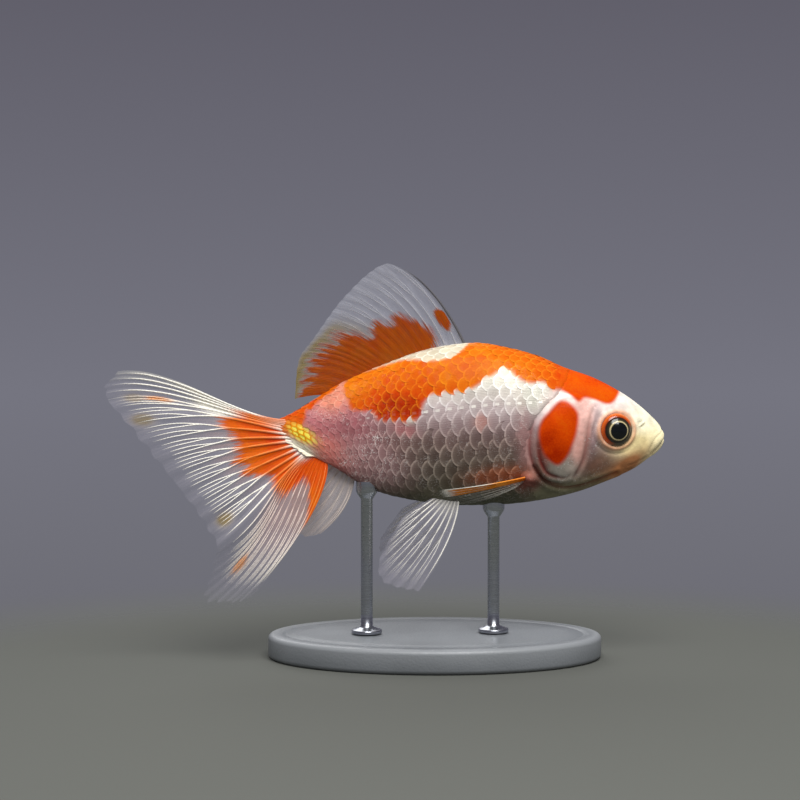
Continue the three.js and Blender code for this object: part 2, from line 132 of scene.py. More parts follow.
# The lateral line, and the lattice of the scales: their pitch along it, how the distance between
# rows shrinks with it, and how far round the body from it each numbered row lies.
LATERAL_LINE = rows_of(
    2, 200, 125, 354, 100, 464, 94, 573, 83, 683, 70, 792, 61, 888, 42, 984, 12, 1060, -12)
PITCH = rows_of(
    2, 240, 26, 400, 29.5, 500, 32, 600, 33, 680, 31.5, 750, 26.2, 800, 22, 860, 19.5, 930, 17,
    1030, 15)
ROW_SHRINK = rows_of(
    2, 240, 780, 340, 900, 420, 1000, 660, 1000, 750, 880, 850, 700, 950, 560, 1030, 480)
ROW_NUMBERS = [-12, *range(-9, 9), 12]
ROW_PLACES = thousandths(
    -272, -218, -200, -182, -163, -143, -121, -96, -68, -38, -6, 36, 79, 121, 161, 199, 235, 269,
    302, 430)


# Lines and surfaces

def smooth_step(x, low, high):
    """Rises smoothly from 0 to 1 while x goes from low to high: 3k^2 - 2k^3."""
    k = np.clip((np.asarray(x, float) - low) / (high - low), 0, 1)
    return k * k * (3 - 2 * k)


def bell(x, width):
    """A bell-shaped bump, 1 at zero: e to the minus (x / width) squared."""
    return np.exp(-(np.asarray(x, float) / width) ** 2)


def line_through(at, values):
    """A smooth line through values at rising places: cubic pieces whose slope at each knot is that
    of the chord between its two neighbours. The values may be numbers or points."""
    at = np.asarray(at, float)
    values = np.asarray(values, float)
    index = np.arange(len(at))
    before = np.maximum(index - 1, 0)
    after = np.minimum(index + 1, len(at) - 1)
    wide = (Ellipsis,) + (None,) * (values.ndim - 1)
    slopes = (values[after] - values[before]) / (at[after] - at[before])[wide]

    def line(x):
        """The cubic piece that x falls in, from its knots' values and slopes."""
        x = np.asarray(x, float)
        i = np.clip(np.searchsorted(at, x, side="left") - 1, 0, len(at) - 2)
        width = at[i + 1] - at[i]
        k = np.clip((x - at[i]) / width, 0, 1)[wide]
        width = width[wide]
        return ((2 * k**3 - 3 * k**2 + 1) * values[i] + (k**3 - 2 * k**2 + k) * width * slopes[i]
                + (3 * k**2 - 2 * k**3) * values[i + 1] + (k**3 - k**2) * width * slopes[i + 1])

    return line


def table(knots):
    """A smooth line through rows of (place, value)."""
    return line_through(knots[:, 0], knots[:, 1])


def body_line(knots):
    """A body line, drawn against the square root of u, which makes the snout round."""
    line = line_through(np.sqrt(knots[:, 0]), knots[:, 1])
    return lambda u: line(np.sqrt(np.maximum(u, 0)))


back_at = body_line(BACK)
belly_at = body_line(BELLY)
half_width_at = body_line(HALF_WIDTH)
lateral_line_at = table(LATERAL_LINE)
scales_begin_at = table(SCALES_BEGIN)
pitch_at = table(PITCH)


def bend_at(t):
    """How far the body's middle has swung sideways: the square of the way past the bend's start,
    straightened again by the square of the way past the tail fin's root."""
    bend = -BEND * np.maximum(t - BEND_START, 0) ** 2
    return bend + ROOT_BEND * np.maximum(t - ROOT_BEND_START, 0) ** 2


def body_place(t, angle):
    """Place (u, h, y) on the bare body. t runs from snout to tail, and angle goes round from the
    back, positive to the left. A section is two half ellipses that meet where it is widest, and
    leans back towards the tail."""
    lean = TAIL_LEAN * smooth_step(t, LEAN_START, TAIL_BASE)
    top = back_at(t + lean)
    bottom = belly_at(t - lean)
    up = np.cos(angle)
    rise = WIDEST + up * np.where(up > 0, 1 - WIDEST, WIDEST)
    middle = (top + bottom) / 2
    squeeze = 1 - 0.14 * smooth_step(t, 0.998, ROOT_END)
    u = t - lean + 2 * lean * rise
    h = middle + (bottom + (top - bottom) * rise - middle) * squeeze
    y = bend_at(t) + np.sin(angle) * half_width_at(t) * (1 - smooth_step(t, ROOT_START, ROOT_END))
    return np.stack(np.broadcast_arrays(u, h, y), -1)


def to_metres(places):
    """Turns (u, h, y) in body lengths into metres in the frame."""
    u, h, y = np.moveaxis(np.asarray(places, float), -1, 0)
    return np.stack([SNOUT_X - LENGTH * u, LENGTH * y, SNOUT_Z + LENGTH * h], -1)


def unit(vectors):
    """The same directions, one long."""
    return vectors / np.maximum(np.linalg.norm(vectors, axis=-1, keepdims=True), 1e-12)


def square_to(surface, a, b, step):
    """The direction square to a surface at (a, b): the cross product of short steps each way."""
    along_a = surface(a + step, b) - surface(a - step, b)
    along_b = surface(a, b + step) - surface(a, b - step)
    return unit(np.cross(along_a, along_b))


def body_normal(t, angle):
    """The direction out of the body."""
    return -square_to(lambda t, angle: to_metres(body_place(t, angle)), t, angle, 1e-4)


def drawn(knots, closed=False, steps=7):
    """A smooth line through (u, h) knots as many short pieces, closed on itself if asked."""
    count = len(knots)
    if closed:
        at = np.arange(-2, count + 3)
        return line_through(at, knots[at % count])(np.linspace(0, count, count * steps + 1))
    return line_through(np.arange(count), knots)(np.linspace(0, count - 1, (count - 1) * steps + 1))


def distance_to(line, u, h):
    """Distance from each place to a line: the least of the distances to its short pieces."""
    least = np.full(np.shape(u), np.inf)
    for (start_u, start_h), (end_u, end_h) in zip(line[:-1], line[1:]):
        du, dh = end_u - start_u, end_h - start_h
        k = np.clip(((u - start_u) * du + (h - start_h) * dh) / (du * du + dh * dh), 0, 1)
        least = np.minimum(least, np.hypot(u - start_u - k * du, h - start_h - k * dh))
    return least


def depth_inside(line, u, h):
    """Distance to a closed line, positive inside it. A place is inside where a ray from it
    crosses the line an odd number of times."""
    inside = np.zeros(np.shape(u), bool)
    for (start_u, start_h), (end_u, end_h) in zip(line[:-1], line[1:]):
        if start_h != end_h:
            crosses = (start_h > h) != (end_h > h)
            inside ^= crosses & (u < start_u + (end_u - start_u) * (h - start_h) / (end_h - start_h))
    return np.where(inside, 1, -1) * distance_to(line, u, h)


def oval(u, h, centre, radii, turn=0.0):
    """A soft oval patch: a bell of the distance from its centre, in radii turned by an angle."""
    du, dh = u - centre[0], h - centre[1]
    along = du * math.cos(turn) + dh * math.sin(turn)
    across = dh * math.cos(turn) - du * math.sin(turn)
    return np.exp(-((along / radii[0]) ** 2 + (across / radii[1]) ** 2))


def firm_oval(u, h, centre, radii, turn=0.0, firmness=1.5):
    """An oval patch that is full in the middle: a soft one made stronger and cut off at 1."""
    return np.minimum(firmness * oval(u, h, centre, radii, turn), 1)


# Markings, the same for skin and scales

def linear(red, green, blue):
    """A colour given in the usual 0 to 255 steps, as linear light."""
    steps = np.array([red, green, blue]) / 255
    return np.where(steps <= 0.04045, steps / 12.92, ((steps + 0.055) / 1.055) ** 2.4)


def tinted(tint, share, colour):
    """A tint with a share of another colour in it."""
    return tint * (1 - share[..., None]) + linear(*colour) * share[..., None]


# Flank colour by height above the body's middle line: (h, red, green, blue). The dark olive low
# on the flank and belly is partly the fish's own colour and partly painted shade under the body.
FLANK_TONES_AND_SHADE = np.array([
    (-0.2, 100, 104, 80), (-0.15, 94, 92, 74), (-0.1, 96, 88, 76), (-0.05, 110, 95, 86),
    (0.0, 128, 105, 100), (0.045, 170, 147, 146), (0.085, 218, 199, 197), (0.12, 230, 219, 209),
    (0.16, 222, 218, 202), (0.2, 236, 224, 194), (0.3, 238, 226, 196)])
# Soft patches of colour over that: centre, radii, turn, colour and strength.
WASHES = [
    ((0.36, 0.125), (0.06, 0.035), -0.3, (228, 229, 212), 0.9),
    ((0.93, 0.03), (0.12, 0.12), 0.0, (182, 96, 104), 0.85),
    ((0.925, 0.13), (0.05, 0.045), -0.5, (250, 152, 120), 0.9),
    ((0.93, -0.04), (0.07, 0.04), 0.4, (232, 116, 98), 0.85),
    ((0.82, -0.06), (0.1, 0.06), 0.4, (176, 138, 138), 0.7),
    ((0.392, -0.02), (0.022, 0.11), -0.1, (186, 138, 134), 0.6),
    ((0.515, 0.05), (0.02, 0.016), 0.0, (208, 150, 138), 0.75),
    ((0.725, 0.03), (0.03, 0.014), 0.3, (196, 122, 122), 0.75),
    ((0.46, -0.098), (0.08, 0.024), -0.12, (172, 92, 56), 0.75),
    ((0.385, -0.12), (0.03, 0.02), 0.0, (130, 62, 50), 0.7),
    ((0.707, 0.053), (0.009, 0.009), 0.0, (246, 232, 214), 0.9),
    ((0.3, 0.115), (0.05, 0.03), -0.6, (240, 214, 206), 0.8),
    ((0.19, 0.075), (0.07, 0.04), 0.2, (238, 218, 210), 0.9),
    ((0.24, 0.03), (0.03, 0.12), 0.1, (228, 170, 156), 0.8),
    # Dark red-brown inside the gill cover's rear edge: the gill's own red, deepened as painted shade.
    ((0.345, -0.035), (0.012, 0.045), -0.15, (118, 52, 42), 0.85),
    ((0.28, -0.085), (0.045, 0.032), 0.5, (176, 168, 156), 0.75),
    ((0.185, -0.03), (0.035, 0.05), 0.0, (120, 100, 94), 0.85),
    ((0.201, 0.03), (0.011, 0.06), 0.12, (158, 128, 132), 0.6),
    ((0.175, -0.07), (0.055, 0.03), -0.4, (128, 88, 70), 0.8),
    # Dark olive throat and chest: partly the fish's own colour, partly painted shade under the head.
    ((0.2, -0.13), (0.1, 0.025), -0.3, (136, 122, 92), 0.9),
    ((0.31, -0.15), (0.08, 0.025), -0.3, (126, 122, 96), 0.9),
    ((0.045, 0.035), (0.085, 0.075), -0.8, (234, 228, 202), 1.0),
    ((0.03, -0.02), (0.06, 0.045), -0.9, (255, 242, 196), 0.95),
    ((0.085, -0.02), (0.048, 0.036), 0.0, (255, 232, 172), 1.0),
    ((0.108, -0.074), (0.056, 0.024), -0.6, (194, 128, 82), 0.95),
]
WHITE_ROOT = ((1.02, -0.03), (0.046, 0.027), 0.64)
# Where the orange is redder, or less so: centre, radii, turn and strength.
DEEPER = [
    ((0.75, 0.08), (0.1, 0.055), 0.0, 0.62), ((0.865, 0.14), (0.04, 0.06), 0.0, -0.16),
    ((0.7, 0.14), (0.09, 0.05), 0.0, 0.2), ((0.32, -0.02), (0.08, 0.11), 0.0, 0.5),
    ((0.29, 0.015), (0.025, 0.035), 0.0, -0.35), ((0.16, 0.17), (0.12, 0.03), 0.5, 0.2),
]
# Outlines of the orange, as rows of (u, h) seen from the side, each with how soft its edge is. The
# saddle runs along its lower edge from the brow to the tail stem, then forwards under the dorsal
# fin and over the back; the others are the gill patch, the tail stem and a stripe on its ridge.
ORANGE = [
    (rows_of(
        2, 132, 122, 160, 98, 204, 111, 229, 116, 248, 104, 275, 127, 297, 137, 325, 140, 343, 159,
        382, 158, 409, 168, 435, 194, 455, 198, 485, 179, 507, 165, 554, 136, 601, 130, 647, 122,
        672, 105, 682, 70, 705, 57, 756, 55, 798, 58, 813, 78, 863, 81, 880, 105, 893, 150,
        870, 176, 800, 198, 721, 221, 654, 216, 604, 224, 578, 236, 543, 269, 500, 330, 300, 300,
        170, 210, 120, 160), 0.0055),
    (rows_of(
        2, 299, 108, 272, 100, 250, 70, 254, 25, 264, -6, 281, -45, 306, -66, 336, -46, 353, -10,
        358, 24, 350, 55, 326, 83), 0.0075),
    (rows_of(
        2, 955, 200, 965, 130, 990, 95, 998, 55, 1006, 30, 998, 0, 1000, -30, 985, -50, 1000, -90,
        1200, -90, 1200, 200), 0.004),
    (rows_of(2, 900, 170, 920, 136, 960, 108, 1000, 85, 1100, 200, 900, 300), 0.004),
]
# On the left side the same patches are drawn out and swayed, by shares of a body length.
LEFT_SWAY = (0.03, 0.016)


def markings(places, side):
    """Colours and masks of the coat at places on the fish, as a dictionary: tint is the colour
    without orange, orange the share of orange in it, deep how red that is, gold the metal yellow,
    silver how bright the flecks are, and each mask runs from 0 to 1. On the left the places looked
    up sway in slow waves away from the back."""
    u, h, y = np.moveaxis(places, -1, 0)
    away = smooth_step(np.abs(y - bend_at(u)), 0.02, 0.07) * (side > 0)
    back, up = away * LEFT_SWAY[0] * np.sin(9 * u + 8 * h), away * LEFT_SWAY[1] * np.sin(21 * u + 1.3)
    u, h = u + back, h + up
    # The flank's tint by height, darker low down partly as painted shade.
    tint = line_through(FLANK_TONES_AND_SHADE[:, 0], linear(*FLANK_TONES_AND_SHADE[:, 1:].T).T)(h)
    for *patch, colour, strength in WASHES:
        tint = tinted(tint, strength * firm_oval(u, h, *patch, firmness=1.6), colour)
    orange = np.zeros(np.shape(u))
    for knots, soft in ORANGE:
        depth = depth_inside(drawn(knots, closed=True, steps=4), u, h)
        orange = np.maximum(orange, smooth_step(depth, -soft, soft))
    white_root = firm_oval(u, h, *WHITE_ROOT, firmness=2.2)
    orange = orange * (1 - white_root)
    deep = 0.36 + 0.26 * smooth_step(u, 0.92, 0.98) + 0.24 * smooth_step(0.42 - u, 0, 0.16)
    for *patch, strength in DEEPER:
        deep = deep + strength * oval(u, h, *patch)
    # Brighter silver on the lower rear flank: partly the coat's own silver, partly painted sheen.
    silver = 0.25 * (1 - orange) + 0.75 * firm_oval(u, h, (0.83, -0.04), (0.075, 0.085), 0.3)
    silver = silver + 0.45 * oval(u, h, (0.17, -0.035), (0.07, 0.05))
    return {"tint": tinted(tint, white_root, (246, 236, 210)), "orange": orange,
            "deep": np.clip(deep, 0, 1.15), "silver": silver,
            "gold": firm_oval(u, h, (1.008, 0.016), (0.034, 0.015), 0.55, 2.2)}


# Mesh helpers

# Edges folded more sharply than this stay crisp.
SHARP_ANGLE = math.radians(70)


def add_object(name, data, place=None, back=None):
    """A new object in the scene, moved to a place and its back turned to a direction if given."""
    made = bpy.data.objects.new(name, data)
    if place is not None:
        made.location = place
        made.rotation_euler = back.to_track_quat("Z", "Y").to_euler()
    bpy.context.scene.collection.objects.link(made)
    return made


def grid_faces(rows, columns, wrap=False, first=0):
    """Four-sided faces between neighbouring points of a grid that is laid out row by row. With
    wrap the last column joins the first."""
    i = np.arange(rows - 1)[:, None] * columns + first
    j = np.arange(columns if wrap else columns - 1)[None, :]
    k = (j + 1) % columns
    return np.stack([i + j, i + k, i + columns + k, i + columns + j], -1).reshape(-1, 4)


def full_turn(sides):
    """Angles once round a circle."""
    return np.linspace(0, 2 * np.pi, sides, endpoint=False)


def closed_faces(rings, sides):
    """Faces of a closed shape whose points are a pole, rings of points, and another pole: a grid
    round the rings and a fan of triangles at each pole."""
    last = 1 + rings * sides
    around = np.arange(sides)
    fans = [np.stack([np.full(sides, pole), start + around, start + (around + 1) % sides], -1)
            for pole, start in ((0, 1), (last, last - sides))]
    return grid_faces(rings, sides, wrap=True, first=1), fans[0][:, ::-1], fans[1]


def shell_faces(rows, columns):
    """Faces of a thin closed shell: an upper grid, and a lower one that uses its edge and has
    points of its own inside. Returns them, and which grid point each of the lower's is below."""
    index = np.arange(rows * columns).reshape(rows, columns)
    inner = index[1:-1, 1:-1]
    lower = index.copy()
    lower[1:-1, 1:-1] = index.size + np.arange(inner.size).reshape(inner.shape)
    top = grid_faces(rows, columns)
    return np.vstack([top, lower.ravel()[top][:, ::-1]]), inner.ravel()


def copies(faces, count, stride):
    """The faces of so many like shapes, whose points follow each other a stride apart."""
    return (faces + stride * np.arange(count)[:, None, None]).reshape(-1, faces.shape[1])


def volume_of(points, faces):
    """Six times the volume inside a closed mesh, negative if its faces look inwards."""
    total = 0.0
    for corners in ([0, 1, 2], [0, 2, 3])[:faces.shape[1] - 2]:
        a, b, c = (points[faces[:, n]] for n in corners)
        total += np.einsum("ij,ij->i", a, np.cross(b, c)).sum()
    return total


def add_mesh(name, points, *faces):
    """A smooth mesh object from points and arrays of faces, turned to look outwards."""
    points = np.asarray(points, float).reshape(-1, 3)
    middle = points.mean(axis=0)
    if sum(volume_of(points - middle, group) for group in faces) < 0:
        faces = [group[:, ::-1] for group in faces]
    mesh = bpy.data.meshes.new(name)
    mesh.from_pydata(points.tolist(), [], [face for group in faces for face in group.tolist()])
    mesh.shade_smooth()
    mesh.set_sharp_from_angle(angle=SHARP_ANGLE)
    return add_object(name, mesh)


def add_closed(name, first, rings, last):
    """A closed smooth mesh object from a pole, rings of points and another pole."""
    points = np.vstack([first, rings.reshape(-1, 3), last])
    return add_mesh(name, points, *closed_faces(*rings.shape[:2]))


def add_masks(piece, masks):
    """Stores a number, or a colour, at each point of a piece for its material, for each mask."""
    count = len(piece.data.vertices)
    for name, values in masks.items():
        values = np.asarray(values, float).reshape(count, -1)
        if values.shape[1] == 3:
            colours = np.concatenate([values, np.ones((count, 1))], axis=1)
            stored = piece.data.attributes.new(name, "FLOAT_COLOR", "POINT")
            stored.data.foreach_set("color", colours.ravel())
        else:
            stored = piece.data.attributes.new(name, "FLOAT", "POINT")
            stored.data.foreach_set("value", values.ravel())


def add_map(piece, name, places):
    """Gives a piece a UV map from one (x, y) place at each of its points."""
    corners = np.empty(len(piece.data.loops), int)
    piece.data.loops.foreach_get("vertex_index", corners)
    layer = piece.data.uv_layers.new(name=name)
    layer.uv.foreach_set("vector", np.asarray(places, float).reshape(-1, 2)[corners].ravel())


def finish_piece(piece, material, slot, *nodes):
    """Gives a piece its material and its body, and hides the frame's nodes that it stands for."""
    piece.data.materials.append(material)
    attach(piece, "root")
    if nodes:
        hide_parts(*nodes)


# Shader nodes

class Value:
    """One output of a shader node. Sums, differences and products of values make Math nodes."""

    def __init__(self, socket):
        self.socket = socket
        self.tree = socket.id_data

    def other(self, name):
        """Another output of the same node."""
        return Value(self.socket.node.outputs[name])

    def maths(self, operation, *numbers):
        """A Math node's result from these numbers or values."""
        return add_node(self.tree, "Math", dict(enumerate(numbers)), operation=operation)

    def __add__(self, more):
        return self.maths("ADD", self, more)

    def __sub__(self, less):
        return self.maths("SUBTRACT", self, less)

    def __rsub__(self, whole):
        return self.maths("SUBTRACT", whole, self)

    def __mul__(self, factor):
        return self.maths("MULTIPLY", self, factor)

    def __abs__(self):
        return self.maths("ABSOLUTE", self)

    def over(self, other):
        """The larger of two values."""
        return self.maths("MAXIMUM", self, other)

    def carried(self, low, high, to_low=0.0, to_high=1.0):
        """The value carried smoothly from one range to another."""
        inputs = {"Value": self, "From Min": low, "From Max": high, "To Min": to_low, "To Max": to_high}
        return add_node(self.tree, "MapRange", inputs, interpolation_type="SMOOTHSTEP")

    def ramp(self, *stops):
        """A colour that changes with the value, through (place, colour) stops."""
        colour = add_node(self.tree, "ValToRGB", {0: self})
        elements = colour.socket.node.color_ramp.elements
        while len(elements) < len(stops):
            elements.new(0.5)
        for element, (place, tone) in zip(elements, stops):
            element.position = place
            element.color = tone
        return colour


def feed(node, inputs):
    """Gives a node its inputs, each a plain value or another node's output."""
    for key, value in inputs.items():
        if isinstance(value, Value):
            value.tree.links.new(value.socket, node.inputs[key])
        else:
            node.inputs[key].default_value = value
    return node


def add_node(tree, kind, inputs=None, output=0, **settings):
    """Adds a shader node and returns one of its outputs."""
    node = tree.nodes.new("ShaderNode" + kind)
    for key, value in settings.items():
        setattr(node, key, value)
    return Value(feed(node, inputs or {}).outputs[output])


def mixed(share, first, second, how="MIX"):
    """Two colours mixed by a share. At least one of the three is a node's output."""
    tree = next(part.tree for part in (share, first, second) if isinstance(part, Value))
    return add_node(tree, "Mix", {0: share, 6: first, 7: second}, 2, data_type="RGBA", blend_type=how)


def mask(tree, name, output="Fac"):
    """A number or colour stored on the piece."""
    return add_node(tree, "Attribute", None, output, attribute_name=name)


def noise(tree, scale, detail=3.0, place=None):
    """Noise in the object's own metres, or at another place."""
    place = place or add_node(tree, "TexCoord", None, "Object")
    return add_node(tree, "TexNoise", {"Vector": place, "Scale": scale, "Detail": detail})


def rgba(red, green, blue):
    """A colour in the usual 0 to 255 steps, as a node takes it."""
    return (*linear(red, green, blue), 1.0)


def open_group(name, **inputs):
    """A new node group with named number inputs; returns its tree and those inputs."""
    tree = bpy.data.node_groups.new(name, "ShaderNodeTree")
    for key, value in inputs.items():
        made = tree.interface.new_socket(key, in_out="INPUT", socket_type="NodeSocketFloat")
        made.default_value = value
    given = tree.nodes.new("NodeGroupInput")
    return tree, *(Value(given.outputs[key]) for key in inputs)


def close_group(tree, **outputs):
    """Gives a node group its named outputs, each a colour or a number as what feeds it is."""
    for key, value in outputs.items():
        kind = "Color" if value.socket.type == "RGBA" else "Float"
        tree.interface.new_socket(key, in_out="OUTPUT", socket_type="NodeSocket" + kind)
    feed(tree.nodes.new("NodeGroupOutput"), outputs)
    return tree


def use_group(tree, group, **inputs):
    """Places a node group in a material and returns its first output."""
    node = tree.nodes.new("ShaderNodeGroup")
    node.node_tree = group
    return Value(feed(node, inputs).outputs[0])


def make_uneven():
    """Soft unevenness: the part of the noise between Start and End is spread over Low to High."""
    tree, scale, detail, start, end, low, high = open_group(
        "uneven", Scale=500.0, Detail=3.0, Start=0.3, End=0.7, Low=0.0, High=1.0)
    return close_group(tree, Value=noise(tree, scale, detail).carried(start, end, low, high))


def make_pigment():
    """The fish's orange: from yellow-orange to red-orange by Depth, cloudy at two sizes, and
    darkened to burnt orange by Shade."""
    tree, depth, shade = open_group("orange_pigment", Depth=0.5, Shade=0.0)
    clouds = (noise(tree, 260.0) - 0.5) * 0.55
    grains = (noise(tree, 2600.0, 2.0) - 0.5) * 0.3
    colour = (depth + clouds + grains).ramp(
        (0.0, rgba(228, 136, 18)), (0.35, rgba(212, 98, 6)),
        (0.7, rgba(204, 66, 2)), (1.0, rgba(166, 38, 1)))
    return close_group(tree, Color=mixed(shade, colour, rgba(172, 184, 130), "MULTIPLY"))


def make_flecks():
    """Silvery flecks under the skin: small cells of a Size in millimetres, a Share of which are
    bright, and fine scribbles where another noise crosses its middle, both in loose patches. The
    bright flecks and scribbles are partly the coat's own silver and partly painted glints."""
    tree, size, share = open_group("silver_flecks", Size=0.3, Share=0.4)
    place = add_node(tree, "TexCoord", None, "Object")
    cells = add_node(tree, "TexVoronoi", {"Vector": place, "Scale": size.maths("DIVIDE", 1 / MM, size),
                                          "Randomness": 1.0}, "Color")
    chosen = add_node(tree, "SeparateColor", {"Color": cells})
    chosen = chosen.maths("LESS_THAN", chosen, share)
    flecks = chosen * cells.other("Distance").carried(0.45, 0.1)
    broken = noise(tree, 1900.0).carried(0.42, 0.56)
    scribbles = abs(noise(tree, 620.0) - 0.5).carried(0.02, 0.004) * broken
    patches = noise(tree, 420.0).carried(0.38, 0.62)
    grain = noise(tree, 3800.0, 2.0) - 0.5
    return close_group(tree, Mask=flecks.over(scribbles) * patches, Height=grain)


def make_fin_streaks():
    """Fine streaks along a fin's rays, and an orange mask frayed by them at its borders."""
    tree, orange = open_group("fin_streaks", Orange=0.0)
    place = add_node(tree, "UVMap", uv_map="fin")
    place = add_node(tree, "Mapping", {"Vector": place, "Scale": (260.0, 5.0, 1.0)})
    streaks = noise(tree, 1.0, 2.0, place).carried(0.35, 0.65)
    frayed = orange + (streaks - 0.5) * (orange * (1 - orange) * 4.0)
    return close_group(tree, Streaks=streaks, Orange=frayed.carried(0.2, 0.8))


def make_ray_joints():
    """The joints of a fin's rays, in even bands along them: 0 in a joint and 1 on the bone."""
    tree, bands = open_group("ray_joints", Bands=14.0)
    place = add_node(tree, "UVMap", uv_map="fin")
    wave = {"Vector": place, "Scale": bands, "Distortion": 1.5, "Detail": 0.0}
    wave = add_node(tree, "TexWave", wave, "Fac", bands_direction="Y")
    return close_group(tree, Bone=wave.carried(0.1, 0.5))


UNEVEN = make_uneven()
PIGMENT = make_pigment()
FLECKS = make_flecks()
FIN_STREAKS = make_fin_streaks()
RAY_JOINTS = make_ray_joints()


# Materials

def new_material(name, **constants):
    """A material whose shader has these constant values; returns it and its tree."""
    material = bpy.data.materials.new(name)
    material.use_nodes = True
    paint(material, **constants)
    return material, material.node_tree


def paint(material, height=None, depth=0.0, **inputs):
    """Gives a material's shader its inputs, and bump by a height that is depth metres at 1."""
    tree = material.node_tree
    if height is not None:
        inputs["Normal"] = add_node(tree, "Bump", {"Height": height, "Distance": depth, "Strength": 1.0})
    feed(tree.nodes["Principled BSDF"], {key.replace("_", " "): value for key, value in inputs.items()})
    return material


def uneven(tree, scale, low=0.0, high=1.0, **settings):
    """Soft unevenness of a scale, between two values."""
    return use_group(tree, UNEVEN, Scale=scale, Low=low, High=high, **settings)


def make_skin():
    """Skin: the coat's tint and orange, silver flecks where it is pale that are partly painted glints,
    and dark red painted shade in its creases; moist and finely grained.
    """
    material, tree = new_material("fish_skin", Coat_Weight=0.035, Coat_Roughness=0.1, IOR=1.08)
    pigment = use_group(tree, PIGMENT, Depth=mask(tree, "deep"))
    flecks = use_group(tree, FLECKS, Size=0.34, Share=0.3)
    # Bright silver flecks where the coat is pale, partly painted glints.
    bright = flecks * mask(tree, "silver")
    cloud = uneven(tree, 500.0, 0.8, 1.2, Start=0.25, End=0.75)
    cloud = add_node(tree, "CombineColor", {0: cloud, 1: cloud, 2: cloud})
    colour = mixed(1.0, mask(tree, "tint", "Color"), cloud, "MULTIPLY")
    colour = mixed(bright, colour, rgba(236, 232, 226))
    colour = mixed(mask(tree, "orange"), colour, pigment)
    colour = mixed(mask(tree, "gold"), colour, rgba(206, 110, 12))
    # Dark red painted shade in the head's grooves and creases.
    colour = mixed(mask(tree, "crease_shade"), colour, rgba(112, 34, 30))
    return paint(material, flecks.other("Height"), 0.05 * MM, Base_Color=colour, Metallic=bright * 0.6,
                 Roughness=uneven(tree, 900.0, 0.32, 0.48))


def make_scale_coat():
    """Scales: a darker field with fine lines along it, inside a pale rim that is partly the scale's
    own paler edge and partly painted highlight where light catches it; some carry the pore of the
    lateral line, painted bright white as glints, and those at the tail's root are metal yellow."""
    material, tree = new_material("fish_scales", Coat_Weight=0.04, Coat_Roughness=0.1, IOR=1.08)
    pigment = use_group(tree, PIGMENT, Depth=mask(tree, "deep"))
    flecks = use_group(tree, FLECKS, Size=0.28, Share=0.5)
    tint, orange, gold = mask(tree, "tint", "Color"), mask(tree, "orange"), mask(tree, "gold")
    own = add_node(tree, "UVMap", uv_map="scale")
    wave = {"Vector": own, "Scale": 5.0, "Distortion": 2.0, "Detail": 1.0}
    lines = add_node(tree, "TexWave", wave, "Fac")
    across = add_node(tree, "SeparateXYZ", {0: own})
    along = across.other("Y")
    beside = abs(across - 0.5)
    field = mixed(orange, mixed(0.3, tint, rgba(120, 104, 102), "MULTIPLY"), pigment)
    field = mixed(lines * 0.12, field, rgba(60, 50, 44))
    edge = mask(tree, "edge") + (noise(tree, 900.0) - 0.5) * 0.16
    thin = edge.carried(0.22, 0.06) * uneven(tree, 700.0, 0.5, 0.9, End=0.6)
    halo = edge.carried(0.6, 0.12) * 0.2
    # The pale rim and its soft halo: partly the scale's paler edge, partly painted highlight where light
    # catches it.
    rim = thin.over(halo) * mask(tree, "rim") * beside.carried(0.42, 0.34)
    pale = mixed(0.16, mixed(1.0, tint, tint, "SCREEN"), rgba(240, 226, 206))
    warm = mixed(0.5, pigment, rgba(252, 160, 40))
    colour = mixed(rim, field, mixed(orange, pale, warm))
    # Bright silver flecks on the scales, partly painted glints.
    colour = mixed(flecks * mask(tree, "silver"), colour, rgba(232, 226, 220))
    # The lateral line's pore marks, painted bright white: partly the pores, partly painted glints.
    pore = beside.carried(0.06, 0.02) * along.carried(0.6, 0.68) * along.carried(0.92, 0.84)
    colour = mixed(pore * mask(tree, "pore") * (1 - orange * 0.8), colour, rgba(250, 244, 232))
    metal = mixed(edge.carried(0.12, 0.4), rgba(240, 160, 20), rgba(255, 238, 96))
    return paint(material, lines * 0.4 + flecks.other("Height"), 0.03 * MM,
                 Base_Color=mixed(gold, colour, metal), Metallic=((1 - orange) * 0.14).over(gold * 0.2),
                 Roughness=uneven(tree, 1200.0, 0.26, 0.42))


def make_web(name, pale, streak, blush, shade):
    """Fin web: clear and faintly cloudy, streaked along the rays, orange where the pigment is."""
    material, tree = new_material(name, Roughness=0.5, Specular_IOR_Level=0.06)
    pigment = use_group(tree, PIGMENT, Depth=mask(tree, "deep"), Shade=shade)
    streaks = use_group(tree, FIN_STREAKS, Orange=mask(tree, "orange"))
    colour = mixed(streaks * 0.5, rgba(*pale), rgba(*streak))
    colour = mixed(mask(tree, "blush"), colour, rgba(*blush))
    colour = mixed(mask(tree, "chalk"), colour, rgba(240, 236, 224))
    colour = mixed(mask(tree, "olive"), colour, rgba(128, 106, 30))
    return paint(material, streaks, 0.03 * MM, Base_Color=mixed(streaks.other("Orange"), colour, pigment),
                 Alpha=mask(tree, "clear") * streaks.carried(0.0, 1.0, 0.8, 1.15))


def make_ray_bone(name, pale, joint_tone, blush, shade):
    """Fin rays: jointed bone, pale with darker joints, orange where the pigment is."""
    material, tree = new_material(name, Roughness=0.45, Coat_Weight=0.06, Coat_Roughness=0.1,
                                  Specular_IOR_Level=0.2)
    pigment = use_group(tree, PIGMENT, Depth=mask(tree, "deep"), Shade=shade)
    bone = use_group(tree, RAY_JOINTS, Bands=14.0)
    colour = mixed(bone, rgba(*joint_tone), rgba(*pale))
    colour = mixed(mask(tree, "blush"), colour, rgba(*blush))
    colour = mixed(mask(tree, "orange"), colour, mixed(0.3, pigment, rgba(255, 170, 80)))
    return paint(material, bone, 0.01 * MM, Base_Color=colour, Alpha=mask(tree, "clear"))


